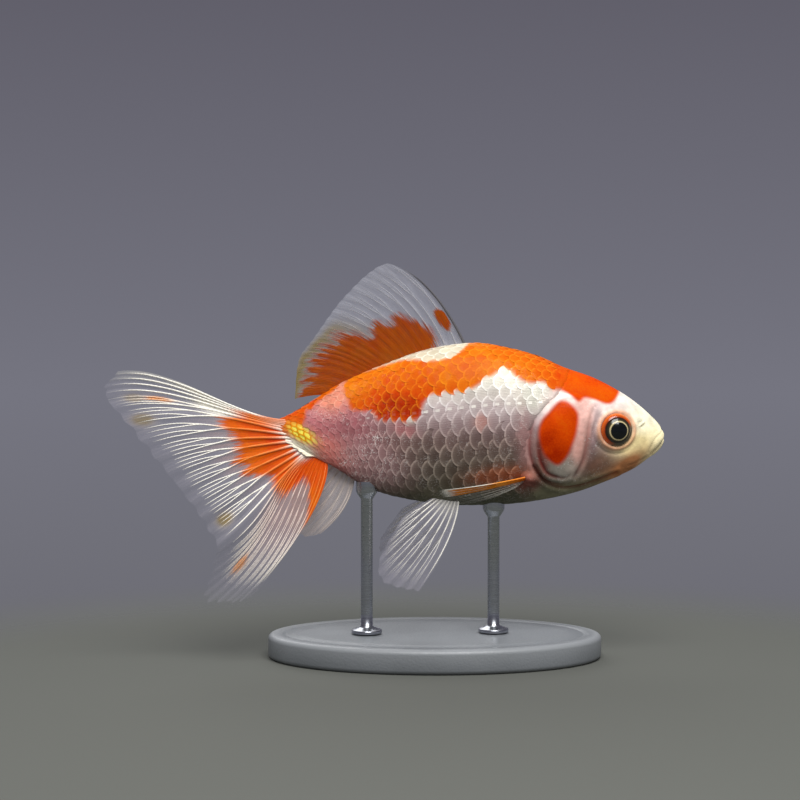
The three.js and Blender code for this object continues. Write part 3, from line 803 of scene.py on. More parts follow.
def make_eye():
    """Eye: black pupil in a thin gold ring, dark olive iris and an orange ring outside it."""
    material, tree = new_material("fish_eye", Roughness=0.2, Coat_Weight=0.6, Coat_Roughness=0.03,
                                  Specular_IOR_Level=0.2)
    grain = noise(tree, 1500.0) - 0.5
    colour = (mask(tree, "reach") + grain * 0.035).ramp(
        (0.0, rgba(5, 8, 11)), (0.5, rgba(8, 10, 12)), (0.535, rgba(176, 160, 118)),
        (0.565, rgba(206, 188, 142)), (0.61, rgba(66, 58, 38)), (0.7, rgba(40, 34, 24)),
        (0.77, rgba(48, 20, 8)), (0.81, rgba(150, 54, 10)), (0.92, rgba(206, 92, 24)),
        (1.0, rgba(222, 140, 84)))
    low = mask(tree, "low") * mask(tree, "reach").carried(0.7, 0.8)
    return paint(material, grain, 0.02 * MM, Base_Color=mixed(low, colour, rgba(84, 78, 60)))


def make_lacquer():
    """The stand's base: satin grey lacquer, finely pebbled, its edge a little brighter."""
    material, tree = new_material("stand_lacquer", Coat_Weight=0.15, Coat_Roughness=0.3)
    colour = mixed(uneven(tree, 60.0), rgba(104, 107, 110), rgba(116, 119, 122))
    colour = mixed(mask(tree, "worn") * 0.5, colour, rgba(150, 152, 154))
    return paint(material, noise(tree, 2200.0, 2.0), 0.05 * MM, Base_Color=colour,
                 Roughness=uneven(tree, 2200.0, 0.42, 0.56, Detail=2.0))


def make_steel():
    """The stand's rods: brushed steel, its brush marks running round the rod."""
    material, tree = new_material("stand_steel", Metallic=1.0)
    place = add_node(tree, "TexCoord", None, "Object")
    place = add_node(tree, "Mapping", {"Vector": place, "Scale": (60.0, 60.0, 9000.0)})
    marks = noise(tree, 1.0, 2.0, place)
    return paint(material, marks, 0.0004 * MM, Roughness=marks.carried(0.3, 0.7, 0.24, 0.32),
                 Base_Color=mixed(marks.carried(0.3, 0.7), rgba(178, 181, 186), rgba(190, 193, 198)))


# Camera, lights and floor

# The camera's focal length and sensor in millimetres, its distance and how high it stands.
CAMERA_LENS = (85, 36)
CAMERA_DISTANCE = 0.396
CAMERA_ELEVATION = math.radians(2)
# What the camera looks at, from the middle of the frame's box.
AIM_SHIFT = Vector((0.0021, 0.0, 0.0127))
# The lamps: where each stands, and its power.
LAMPS = {"key_lamp": ((0.06, -0.27, 0.43), 2.92), "rear_lamp": ((-0.1, 0.3, 0.3), 0.6)}
LAMP_SIZE = 0.3
# The fill light's strength, and its colour from below and from above.
FILL_STRENGTH = 0.85
FILL = ((0.0, (0.2, 0.2, 0.19, 1)), (1.0, (0.62, 0.64, 0.68, 1)))
# The backdrop's greys: low, level with the fish and high.
BACKDROP = ((0.3, rgba(106, 106, 112)), (0.47, rgba(117, 117, 128)), (0.7, rgba(94, 92, 103)))
FLOOR_TONE = rgba(92, 93, 88)
FLOOR_MIDDLE = (0.0, -0.045, 0.0)
FLOOR_FADES = (0.1, 0.18)
FLOOR_RINGS, FLOOR_SIDES = 11, 96


def add_camera():
    """The camera, level with the fish and a little above it, at a portrait lens's distance."""
    aim = (CAD_LOW + CAD_HIGH) / 2 + AIM_SHIFT
    aim.y = 0.0
    back = Vector((0.0, -math.cos(CAMERA_ELEVATION), math.sin(CAMERA_ELEVATION)))
    lens = bpy.data.cameras.new("camera")
    lens.lens, lens.sensor_width = CAMERA_LENS
    lens.clip_start = 0.01
    bpy.context.scene.camera = add_object("camera", lens, aim + back * CAMERA_DISTANCE, back)


def add_lamp(name, place, power):
    """A soft square lamp that faces the fish."""
    light = bpy.data.lights.new(name, "AREA")
    light.shape = "SQUARE"
    light.size = LAMP_SIZE
    light.energy = power
    add_object(name, light, place, Vector(place) - Vector((0.0, 0.0, SNOUT_Z)))


def add_world():
    """A plain cool grey backdrop for the camera and for reflections, and even fill light that is
    stronger from above."""
    world = bpy.data.worlds.new("studio")
    bpy.context.scene.world = world
    world.use_nodes = True
    tree = world.node_tree
    tree.nodes.clear()
    upwards = add_node(tree, "SeparateXYZ", {0: add_node(tree, "TexCoord", None, "Generated")}, "Z")
    fill = upwards.carried(-0.6, 0.9).ramp(*FILL)
    rays = add_node(tree, "LightPath", None, "Is Camera Ray")
    straight = rays.over(rays.other("Is Transmission Ray")).over(rays.other("Is Glossy Ray"))
    lit = add_node(tree, "Background", {"Color": fill, "Strength": FILL_STRENGTH})
    seen = add_node(tree, "Background", {"Color": (upwards + 0.5).ramp(*BACKDROP), "Strength": 1.0})
    both = add_node(tree, "MixShader", {0: straight, 1: lit, 2: seen})
    feed(tree.nodes.new("ShaderNodeOutputWorld"), {"Surface": both}).is_active_output = True


def add_floor():
    """A pale round floor under the stand that fades into the backdrop."""
    reach = np.linspace(0, FLOOR_FADES[1] * 1.05, FLOOR_RINGS + 1)[1:, None]
    turn = full_turn(FLOOR_SIDES)
    rings = np.stack([reach * np.cos(turn), reach * np.sin(turn), 0 * reach * turn], -1)
    points = np.vstack([[(0, 0, 0)], rings.reshape(-1, 3)]) + FLOOR_MIDDLE
    around, fan, _ = closed_faces(FLOOR_RINGS, FLOOR_SIDES)
    mesh = bpy.data.meshes.new("floor")
    mesh.from_pydata(points.tolist(), [], around[:, ::-1].tolist() + fan[:, ::-1].tolist())
    material, tree = new_material("floor_paint", Roughness=0.9, Specular_IOR_Level=0.1)
    place = add_node(tree, "TexCoord", None, "Object")
    far = add_node(tree, "VectorMath", {0: place, 1: FLOOR_MIDDLE}, "Value", operation="DISTANCE")
    clear = far.carried(*FLOOR_FADES, 1.0, 0.0)
    mesh.materials.append(paint(material, Base_Color=FLOOR_TONE, Alpha=clear))
    add_object("floor", mesh)


# The skin

HEAD_COLUMNS, TRUNK_COLUMNS, ROUND_POINTS = 190, 150, 272
HEAD_END = 0.39
# Columns crowd towards the snout by this power, and points towards the flanks by this share.
SNOUT_CROWDING = 1.35
FLANK_CROWDING = 0.17
# The skin ends on the tail fin in so many small tongues, this long.
TONGUES, TONGUE_LENGTH = 20, 0.01


def head_details(u, h, y):
    """The head's plates, grooves and rims: how far the skin stands out over the bare body, in body
    lengths, and masks for the painted dark red shade in its creases, its silver flecks and the ring
    round the eye.
    Plates are smooth steps at their outlines; grooves and rims are bells of the distance to their
    lines. The mouth's lines arch over the snout."""
    arched = h + LIP_ARCH * smooth_step(np.abs(y), 0.0, LIP_ARCH_WIDTH)
    cover = depth_inside(drawn(GILL_COVER, closed=True), u, h)
    cheek = distance_to(drawn(CHEEK_GROOVE), u, h)
    throat = distance_to(drawn(THROAT_GROOVE), u, h)
    mouth = distance_to(drawn(MOUTH), u, arched)
    upper_lip = distance_to(drawn(UPPER_LIP), u, arched)
    jaw = distance_to(drawn(JAW_CREASE), u, h)
    rear = smooth_step(u, 0.24, 0.31)
    low = smooth_step(-h, -0.02, 0.08)
    plates = (0.34 * smooth_step(cover, -0.003, 0.008) + 0.3 * smooth_step(cover, 0.012, 0.05)
              - 0.3 * bell(cover - 0.0165, 0.0045) * rear * (0.35 + 0.65 * low)
              - 0.5 * bell(cover + 0.007, 0.005) * rear * smooth_step(0.09 - h, 0.0, 0.06)
              - 0.26 * bell(cheek, 0.005) + 0.14 * bell(cheek - 0.0135, 0.007)
              - 0.4 * bell(throat, 0.004) + 0.14 * bell(throat - 0.011, 0.006))
    lips = (0.15 * bell(mouth - 0.011, 0.007) - 0.36 * bell(mouth, 0.0033)
            - 0.1 * bell(upper_lip, 0.004) - 0.14 * bell(jaw, 0.004))

    # The socket under the eyeball, the rim of skin round it and the crease below the cheek.
    du, dh = u - EYE_CENTRE[0], h - EYE_CENTRE[1]
    reach = np.hypot(du, dh)
    below = smooth_step(np.cos(np.arctan2(dh, du) + 0.9), 0.1, 0.8)
    socket = (0.34 * bell(reach - 0.0505, 0.0055) - 1.4 * smooth_step(reach, 0.046, 0.036)
              - 0.16 * bell(reach - 0.067, 0.004) * below)
    # A shallow pit with a raised flap of skin across it.
    nostril = (0.6 * oval(u, h, NOSTRIL, (0.0028, 0.008), NOSTRIL_TURN)
               - 0.5 * oval(u, h, NOSTRIL, (0.011, 0.0075), NOSTRIL_TURN))

    behind = smooth_step(u, 0.26, 0.32)
    # Dark red painted shade down in the grooves and creases; behind the gill cover it is partly the gill's
    # own red.
    crease_shade = np.maximum.reduce([
        0.4 * bell(cheek, 0.006) * smooth_step(h, 0.1, 0.0),
        0.8 * bell(cover - 0.0165, 0.005) * behind * smooth_step(-h, -0.03, 0.06),
        0.6 * bell(cover + 0.006, 0.004) * behind * smooth_step(0.08 - h, 0.0, 0.07),
        0.5 * bell(throat, 0.004),
        0.35 * bell(mouth, 0.003)])
    ring = bell(reach - 0.05, 0.007)
    silver = (0.2 * smooth_step(u, 0.12, 0.18) * (1 - ring)
              + 0.65 * oval(u, h, (0.285, -0.085), (0.035, 0.03), 0.5)
              + 0.4 * oval(u, h, (0.2, 0.0), (0.02, 0.07)))
    return (plates + lips + socket + nostril) * MM / LENGTH, crease_shade, np.clip(silver, 0, 1), ring


def coat_depth(u, h):
    """How deep the coat of scales is: thin where the scales begin, full a little behind, and thin
    again at the tail's root."""
    behind = u - scales_begin_at(h)
    first = FIRST_COAT * smooth_step(behind, -0.003, 0.003)
    return (first + (COAT - FIRST_COAT) * smooth_step(behind, 0.0, 0.05)) * smooth_step(u, 1.12, 1.07)


def build_skin(material):
    """One closed skin from snout to tail root. Columns crowd towards the snout, points crowd
    towards the flanks, and the relief moves each along the body's outward direction: out over the
    pectoral fin's root, in under the scales by the coat's depth, and by the head's details."""
    head = HEAD_END * np.linspace(0, 1, HEAD_COLUMNS, endpoint=False)[1:] ** SNOUT_CROWDING
    trunk = np.linspace(HEAD_END, ROOT_END, TRUNK_COLUMNS)[:-1]
    turn = full_turn(ROUND_POINTS)
    angle = turn + FLANK_CROWDING * np.sin(2 * turn)
    t, angle = np.broadcast_arrays(np.concatenate([head, trunk])[:, None], angle)
    tongues = (0.5 + 0.5 * np.cos(TONGUES * angle)) * smooth_step(t, 1.02, ROOT_END)
    bare = body_place(t - TONGUE_LENGTH * tongues, angle)
    u, h, y = np.moveaxis(bare, -1, 0)
    near = t < HEAD_END + 0.02
    raised, crease_shade, silver, ring = head_details(u[near], h[near], y[near])
    relief = 0.9 * MM / LENGTH * oval(u, h, (0.378, -0.106), (0.02, 0.014), 0.3) - coat_depth(u, h) / LENGTH
    relief[near] += raised
    rings = to_metres(bare) + body_normal(t, angle) * (relief * LENGTH)[..., None]
    root = body_place(ROOT_END - 0.03, np.array([0.0, np.pi])).mean(axis=0)
    skin = add_closed("skin", to_metres([0.0, 0.0, 0.0]), rings, to_metres(root))
    masks = markings(bare, np.where(np.sin(angle) > 0, LEFT, RIGHT))
    masks["crease_shade"] = np.zeros(t.shape)
    masks["crease_shade"][near] = crease_shade
    masks["silver"][near] = silver * (1 - masks["orange"][near])
    masks["tint"][near] = tinted(masks["tint"][near], 0.75 * ring, (232, 168, 128))
    masks = {name: values.reshape(t.size, -1) for name, values in masks.items()}
    add_masks(skin, {name: np.vstack([rows[:1], rows, rows[-1:]]) for name, rows in masks.items()})
    finish_piece(skin, material, "skin", "head", "upper_lip", "lower_jaw", "gill_cover_right",
                 "gill_cover_left", "trunk_front", "trunk_rear", "tail_stem")


# The scales

SCALE_ACROSS, SCALE_ALONG = 11, 5
# A scale in pitches and rows: how far its root reaches forwards, its rear edge back, how wide it
# is, and how narrow its root is against that.
SCALE_ROOT, SCALE_TIP = -0.95, 0.6
SCALE_HALF_WIDTH, SCALE_ROOT_WIDTH = 0.92, 0.75
# The rear edge is part of an oval: its depth in pitches, and the angle it opens to each way.
SCALE_ROUNDING, SCALE_OPENING = 1.0, 1.4
SCALE_THICKNESS = 0.07 * MM
# The pitch under which scales get thinner, the gap under a scale's root, and how deep scales are
# sunk into the skin in front of the coat.
FULL_PITCH = 0.034
SCALE_GAP = 0.03 * MM
SCALE_SINK = 0.8 * MM
# How much chance changes each scale's tilt, skew, brightness and depth of colour.
TILT_LUCK, SKEW_LUCK, TINT_LUCK, DEPTH_LUCK = 0.1, 0.05, 0.07, 0.04
# How far a scale's colours are pulled towards those at its middle.
SCALE_PULL = 0.3
# The lattice: where it starts and ends, where a scale of the middle row is centred, its rows, the
# least way from the coat's front line to a scale's middle, how far its scales' middles may pass the
# back and the belly, in radians, and how many pitches before its end the last one is.
LATTICE_START, LATTICE_END = 0.24, 1.046
LATTICE_MIDDLE = 0.561
ROW_RANGE = (-11, 11)
FIRST_WAY, OVER_RIDGE, LAST_PITCHES = 0.004, 0.06, 0.7
CHART_SECTIONS, CHART_ANGLES, CHART_OVER = 280, 420, 0.5
CHART_ROWS = np.arange(-12, 12.01, 0.1)
# Each scale's patch of the bake: the share of its cell of the lattice that the points of its upper
# and its lower side take, where the lower one starts, and the free cells round them all.
BAKE_UPPER, BAKE_LOWER, BAKE_LOWER_START = (0.9, 0.62), (0.9, 0.16), (0, 0.7)
BAKE_MARGIN, BAKE_ROOM = 0.2, 1.5


def lattice_columns():
    """Places t along the body and the column number at each: the sum of steps over the pitch,
    shifted so that a scale of the middle row is centred where the frame's lattice starts."""
    t = np.linspace(LATTICE_START, LATTICE_END, 400)
    number = np.concatenate([[0], np.cumsum(np.diff(t) / pitch_at((t[1:] + t[:-1]) / 2))])
    return t, number - np.interp(LATTICE_MIDDLE, t, number)


def flank_chart(side):
    """A function for the angle round the body at any t and row. How far round from the lateral
    line each row lies is measured along each section, then turned into an angle; in between, the
    four nearest angles are blended by how near they are."""
    sections = np.linspace(LATTICE_START, LATTICE_END, CHART_SECTIONS)
    angle = np.linspace(-CHART_OVER, np.pi + CHART_OVER, CHART_ANGLES)
    places = body_place(sections[:, None], side * angle)
    steps = np.linalg.norm(np.diff(places, axis=1), axis=-1)
    way = np.concatenate([np.zeros((CHART_SECTIONS, 1)), np.cumsum(steps, axis=1)], axis=1)
    above = places[..., 1] - lateral_line_at(places[..., 0])
    flank = (angle > 0.2) & (angle < 2.9)
    rows = line_through(ROW_NUMBERS, ROW_PLACES)(CHART_ROWS) * table(ROW_SHRINK)(sections)[:, None]
    chart = np.array([
        np.interp(np.interp(0, -above[i, flank], way[i, flank]) + rows[i], way[i], angle)
        for i in range(CHART_SECTIONS)])

    def angle_at(t, row):
        """The chart's angle, blended from the four entries round (t, row)."""
        i = np.clip((t - sections[0]) / (sections[1] - sections[0]), 0, len(sections) - 1.001)
        j = np.clip((row - CHART_ROWS[0]) / (CHART_ROWS[1] - CHART_ROWS[0]), 0, len(CHART_ROWS) - 1.001)
        low_i, low_j = i.astype(int), j.astype(int)
        share_i, share_j = i - low_i, j - low_j
        first, second = (chart[k, low_j] * (1 - share_j) + chart[k, low_j + 1] * share_j
                         for k in (low_i, low_i + 1))
        return first * (1 - share_i) + second * share_i

    return angle_at


def scale_shape():
    """One scale as a thin closed shell, in pitches back and rows round. Its rear edge is an arc,
    and it narrows to its root. Returns its faces and which of its points are on its lower side,
    then for each point how far back and round it is, how far it is lifted off its middle sheet,
    its distance from the rear edge, and how far across and along the scale it is from 0 to 1."""
    across = np.linspace(-1, 1, SCALE_ACROSS)[:, None]
    along = np.linspace(0, 1, SCALE_ALONG) ** 0.8
    turn = SCALE_OPENING * across
    beside = SCALE_HALF_WIDTH * np.sin(turn) * (SCALE_ROOT_WIDTH + (1 - SCALE_ROOT_WIDTH) * along)
    tip = SCALE_TIP - SCALE_ROUNDING * (1 - np.cos(turn))
    back = SCALE_ROOT + (tip - SCALE_ROOT) * along
    swell = (1 - np.abs(across) ** 2.6) * np.sin(np.pi * along**1.3) ** 0.7
    reach = np.hypot((back - SCALE_TIP + SCALE_ROUNDING) / SCALE_ROUNDING, beside / SCALE_HALF_WIDTH)
    edge = SCALE_ROUNDING * (1 - np.minimum(reach, 1))
    faces, inner = shell_faces(SCALE_ACROSS, SCALE_ALONG)
    pick = np.concatenate([np.arange(back.size), inner])
    values = np.broadcast_arrays(back, beside, swell, edge, 0.5 + across / 2, along)
    return faces, np.arange(len(pick)) >= back.size, *(each.ravel()[pick] for each in values)


def build_scales(side, material, luck):
    """The scales of one side, each a thin closed shell from under its neighbours to over the
    ones behind it, joined into one piece. Rows take turns by half a pitch."""
    t_knots, columns = lattice_columns()
    angle_at = flank_chart(side)
    column, row = np.meshgrid(np.arange(math.ceil(columns[0]), columns[-1]), np.arange(*ROW_RANGE))
    row, column = row.ravel(), (column + 0.5 * (row % 2)).ravel()
    t = np.interp(column, columns, t_knots)
    angle = angle_at(t, row)
    centre = body_place(t, side * angle)
    behind = centre[:, 0] - scales_begin_at(centre[:, 1])
    keep = (behind > FIRST_WAY) & (t < SCALES_END) & (column < columns[-1] - LAST_PITCHES)
    keep &= (angle > -OVER_RIDGE) & (angle < np.pi + OVER_RIDGE)
    row, column, t, centre, behind = (values[keep] for values in (row, column, t, centre, behind))
    count = len(row)
    faces, under, back, beside, swell, edge, across, along = scale_shape()
    stride = len(under)
    own = np.stack([across, along], -1)

    # Each scale is tilted and skewed a little by chance, and lies flat where the coat begins.
    tilt = 1 + TILT_LUCK * luck.normal(size=count)[:, None]
    skew = SKEW_LUCK * luck.normal(size=count)[:, None]
    point_t = np.interp(column[:, None] + back + skew * beside, columns, t_knots)
    point_angle = side * angle_at(point_t, row[:, None] + beside - 0.4 * skew * back)
    places = body_place(point_t, point_angle)
    settled = smooth_step(behind, 0.0, 0.05) * smooth_step(centre[:, 1], -0.175, -0.1)
    depth = coat_depth(places[..., 0], places[..., 1])
    sunk = SCALE_SINK * smooth_step(scales_begin_at(places[..., 1]) - places[..., 0], -0.003, 0.006)
    rise = SCALE_GAP - depth - sunk + depth * along**0.9 * tilt * (0.6 + 0.4 * settled[:, None])
    thickness = SCALE_THICKNESS * np.clip(pitch_at(t) / FULL_PITCH, 0.5, 1)[:, None]
    lift = np.where(under, -0.15, 1.0) * swell * thickness
    points = to_metres(places) + body_normal(point_t, point_angle) * (rise + lift)[..., None]
    piece = add_mesh(f"scales_{SIDE_NAMES[side]}", points, copies(faces, count, stride))

    masks = markings(places + SCALE_PULL * (centre[:, None] - places), side)
    brightness = 1 + TINT_LUCK * luck.normal(size=count)[:, None, None]
    masks["tint"] = np.clip(masks["tint"] * brightness, 0, 0.95)
    masks["deep"] = masks["deep"] + DEPTH_LUCK * luck.normal(size=count)[:, None]
    # Which scales carry a lateral line pore, whose bright white is partly painted glint.
    pore = (row == 0) * (0.15 + 0.85 * luck.random(count)) * smooth_step(centre[:, 0], 0.9, 0.7)
    # How strong each scale's pale rim is; the rim is partly painted highlight.
    rim = (1.0 - 0.3 * luck.random(count)) * settled * (1 - 0.6 * smooth_step(centre[:, 0], 0.76, 0.9))
    masks.update(pore=np.repeat(pore, stride), rim=np.repeat(rim, stride), edge=np.tile(edge, count))
    add_masks(piece, masks)
    add_map(piece, "scale", np.tile(own, (count, 1)))
    # Each scale's patch on the skin's own unwrap, column by row. A patch nearly fills its cell of the
    # lattice, since its rim has to show, and no two scales share a cell. The lower side uses the
    # upper side's edge points, so its edge faces stretch over the upper side's part of the cell.
    lattice = np.stack([column, row], -1)
    inside = np.where(under[:, None], own * BAKE_LOWER + BAKE_LOWER_START, own * BAKE_UPPER)
    patches = (lattice - lattice.min(axis=0) + BAKE_MARGIN)[:, None] + inside
    add_map(piece, "OFBake", patches / (np.ptp(lattice, axis=0) + BAKE_ROOM))
    finish_piece(piece, material, "skin")


# Eyes

EYE_RINGS, EYE_SIDES = 58, 72


def build_eye(side, material):
    """A flattened ball seen along its axis, with a clear bulge over the iris. Rings run from the
    front pole to the rear one; reach is the distance from the pupil's middle, in ball radii."""
    ring = np.linspace(0, np.pi, EYE_RINGS + 2)[:, None]
    turn = full_turn(EYE_SIDES)
    out = np.sin(ring)
    front = ring < np.pi / 2
    bulge = np.where(front, 0.12 * bell(out, 0.55) - 0.05 * bell(out - 0.79, 0.05), 0.0)
    x, z, depth = np.broadcast_arrays(out * np.cos(turn), out * np.sin(turn), np.cos(ring) + bulge)
    forward = np.array([math.cos(EYE_TURN), -side * math.sin(EYE_TURN), 0.0])
    axis = np.array([math.sin(EYE_TURN), side * math.cos(EYE_TURN), 0.0])
    across = x[..., None] * forward + z[..., None] * [0.0, 0.0, 1.0]
    points = LENGTH * (EYE_RADIUS * across + EYE_DEPTH * depth[..., None] * axis)
    points = points + to_metres(np.array(EYE_CENTRE) * [1, 1, side])
    # All the points of a pole's own ring are one.
    once = slice(EYE_SIDES - 1, 1 - EYE_SIDES)
    name = SIDE_NAMES[side]
    eye = add_mesh(f"eyeball_{name}", points.reshape(-1, 3)[once], *closed_faces(EYE_RINGS, EYE_SIDES))
    reach = np.where(front, np.hypot(x - 0.02, z + 0.06) + 0.06 * (x - z), 1.0)
    low = smooth_step(0.7 * x - 0.7 * z, 0.0, 0.6)
    add_masks(eye, {"reach": reach.ravel()[once], "low": low.ravel()[once]})
    finish_piece(eye, material, "eye", f"eye_{name}")


# Fins

# Key rays: how far across the fin each stands, then its Bezier places (u, h, y) from base to tip.
DORSAL_RAYS = rows_of(
    10, 0, 545, 240, 0, 617, 407, 0, 719, 469, 0,
    100, 580, 235, 0, 650, 415, 0, 782, 487, 0,
    380, 680, 210, -4, 768, 358, -6, 890, 397, -15,
    660, 780, 185, -12, 870, 263, -20, 980, 275, -35,
    820, 830, 168, -20, 915, 225, -28, 1018, 218, -45,
    1000, 925, 120, -36, 965, 128, -45, 1028, 112, -55)
TAIL_RAYS = rows_of(
    13, 0, 1055, 55, -74, 1188, 58, -90, 1356, 212, -150, 1495, 191, -200,
    50, 1050, 45, -74, 1183, 55, -90, 1373, 192, -150, 1528, 154, -215,
    110, 1045, 34, -72, 1177, 52, -90, 1375, 153, -150, 1522, 112, -220,
    210, 1030, 18, -70, 1168, 47, -90, 1335, 98, -150, 1473, 50, -220,
    500, 982, -22, -67, 1069, -88, -85, 1167, -168, -140, 1258, -232, -183,
    610, 975, -31, -67, 1112, -110, -90, 1051, -216, -135, 1247, -328, -165,
    740, 966, -36, -67, 1080, -110, -95, 1050, -256, -145, 1272, -429, -160,
    850, 956, -38, -65, 1030, -110, -95, 1010, -270, -150, 1213, -442, -165,
    940, 948, -40, -61, 978, -110, -95, 988, -270, -150, 1166, -436, -170,
    1000, 940, -43, -57, 920, -113, -90, 980, -237, -145, 1139, -420, -170)
ANAL_RAYS = rows_of(
    10, 0, 862, -100, -28, 868, -196, -29, 958, -264, -35,
    250, 880, -90, -30, 903, -190, -32, 1000, -272, -40,
    600, 900, -75, -34, 950, -153, -38, 1045, -240, -46,
    1000, 940, -45, -45, 978, -88, -48, 1035, -140, -55)
PELVIC_RAYS = rows_of(
    10, 0, 573, -160, -30, 573, -272, -57, 687, -419, -90,
    220, 584, -160, -30, 625, -281, -61, 736, -410, -95,
    450, 595, -160, -30, 665, -270, -65, 788, -388, -100,
    650, 606, -158, -30, 694, -244, -65, 796, -333, -100,
    1000, 628, -155, -30, 681, -178, -50, 733, -218, -70)
PECTORAL_RAYS = rows_of(
    10, 0, 366, -97, -78, 490, -122, -150, 636, -132, -165,
    200, 368, -102, -76, 488, -132, -136, 627, -150, -155,
    450, 372, -107, -73, 486, -144, -118, 609, -166, -138,
    700, 378, -113, -70, 478, -154, -100, 576, -178, -115,
    1000, 388, -120, -64, 446, -150, -78, 489, -165, -80)
# How far the left fins are spread sideways and drawn downwards against the right ones.
LEFT_PELVIC = (1.7, 0.84)
LEFT_PECTORAL = (1.0, 1.0)

# Where the bony rays stand across each fin.
TAIL_BONES = thousandths(
    10, 32, 54, 80, 125, 195, 255, 303, 343, 385, 427, 467, 508, 545, 580, 615, 650, 690, 730, 770,
    810, 850, 890, 930, 965, 985)
DORSAL_BONES = thousandths(
    4, 70, 150, 200, 250, 315, 375, 430, 480, 530, 585, 630, 680, 725, 770, 820, 870, 920, 965)
ANAL_BONES = thousandths(30, 90, 260, 430, 600, 760, 900)
PELVIC_BONES = thousandths(20, 140, 270, 410, 540, 680, 810, 930)
PECTORAL_BONES = thousandths(15, 60, 105, 150, 195, 240, 360, 500, 640, 780, 900)

# How far out the tail's orange reaches, as (across, along).
TAIL_ORANGE_REACH = rows_of(
    2, 0, 100, 40, 300, 100, 290, 150, 300, 180, 350, 205, 450, 240, 490, 270, 460, 300, 450,
    340, 470, 375, 520, 390, 560, 410, 500, 430, 550, 450, 500, 470, 420, 505, 390, 530, 420,
    580, 430, 650, 400, 750, 390, 790, 330, 820, 270, 860, 260, 900, 310, 930, 380, 960, 470,
    980, 560, 1000, 600)
# Spots of the tail: centre, radii, how orange and how olive.
TAIL_SPOTS = [
    ((0.114, 0.73), (0.014, 0.07), 0.6, 0.6), ((0.112, 0.85), (0.02, 0.06), 0.1, 0.7),
    ((0.21, 0.9), (0.02, 0.07), 0.0, 0.8), ((0.51, 0.85), (0.018, 0.07), 0.1, 0.9),
    ((0.735, 0.815), (0.026, 0.045), 0.6, 0.6)]
# Outlines of the dorsal fin's orange field and of its spot, as (across, along).
DORSAL_ORANGE = rows_of(
    2, 190, 150, 200, 250, 235, 330, 270, 400, 300, 480, 335, 490, 370, 410, 400, 460, 430, 560,
    460, 520, 485, 530, 520, 430, 545, 550, 580, 740, 610, 860, 645, 700, 670, 840, 700, 900,
    745, 800, 780, 860, 820, 930, 860, 880, 900, 970, 950, 1000, 1100, 1100, 1100, -100, 300, 50,
    220, 110)
DORSAL_SPOT = rows_of(2, 70, 190, 30, 270, 25, 370, 70, 400, 115, 360, 120, 280, 100, 200)

# The web's points between neighbouring rays, and a strand's points round.
WEB_POINTS = 6
RAY_SIDES = 6
# How far a strand reaches into the fork where it ends, and how long each fork takes to open.
FORK_OVERLAP = 0.03
FORK_LENGTHS = (0.22, 0.2)
# Strands are as thick as this at least, and end unevenly by up to this share.
LEAST_RAY = 0.02 * MM
RAY_LUCK = 0.05


def other_side(rays, sideways, downwards):
    """The same rays on the fish's left. What lies past the base is spread sideways and drawn up
    or down by two factors."""
    turned = rays.copy()
    turned[:, 3::3] *= -1
    turned[:, 6::3] *= sideways
    root = rays[0, 2]
    turned[:, 5::3] = root + (rays[:, 5::3] - root) * downwards
    return turned


def fin_sheet(rays, fold):
    """A fin's middle sheet and its square direction, as functions of how far across and along it
    a point is. The places that steer the rays are drawn smoothly from key ray to key ray, and
    each ray is the Bezier curve of its own. fold moves the sheet along its square direction."""
    steer = line_through(rays[:, 0], rays[:, 1:].reshape(len(rays), -1, 3))

    def sheet(across, along):
        """The Bezier curve of a ray: its steering places mixed in pairs until one is left."""
        across, along = np.broadcast_arrays(across, along)
        places = steer(across)
        share = along[..., None, None]
        while places.shape[-2] > 1:
            places = places[..., :-1, :] * (1 - share) + places[..., 1:, :] * share
        return to_metres(places[..., 0, :])

    def folded(across, along):
        """The sheet's places moved by the fold, and the sheet's square direction."""
        normals = square_to(sheet, across, along, 1e-3)
        return sheet(across, along) + normals * fold(across, along)[..., None], normals

    return folded


def build_web(name, sheet, fin, material, *nodes):
    """The clear web of a fin: two sheets that share their edge. It sags between the rays, and its
    outer edge is scalloped between them. space is 0 on a ray and 1 midway between two, the square
    of the sine of pi times the ray's number."""
    edges = np.unique(np.concatenate([[0, 1], fin.bones]))
    gaps = [np.linspace(a, b, WEB_POINTS, endpoint=False) for a, b in zip(edges[:-1], edges[1:])]
    across = np.concatenate([*gaps, [1.0]])[:, None]
    space = np.sin(np.pi * np.interp(across, fin.bones, np.arange(len(fin.bones)))) ** 2
    step = np.linspace(0, 1, fin.rows)
    along = step * (1 - fin.scallop * space - fin.ragged * np.sin(61 * across) ** 2)
    across, along = np.broadcast_arrays(across, along)
    points, normals = sheet(across, along)
    sag = fin.sag * MM * space * np.sin(np.pi * np.minimum(along, 0.9)) ** 0.5
    thick, thin = fin.web
    half = (thin + (thick - thin) * (1 - along) ** 2) * MM / 2
    half = half * np.minimum(np.minimum(step, 1 - step) * 20, 1)
    half = half * np.minimum(np.minimum(across, 1 - across) * 60, 1)
    faces, inner = shell_faces(*across.shape)
    pick = np.concatenate([np.arange(across.size), inner])
    upper, lower = (points + normals * offset[..., None] for offset in (sag + half, sag - half))
    web = add_mesh(name, np.vstack([upper.reshape(-1, 3), lower.reshape(-1, 3)[inner]]), faces)
    masks = fin.masks(across, along, space)
    add_masks(web, {mask: values.ravel()[pick] for mask, values in masks.items()})
    add_map(web, "fin", np.stack([across, along], -1).reshape(-1, 2)[pick])
    finish_piece(web, material, "fin", *nodes)


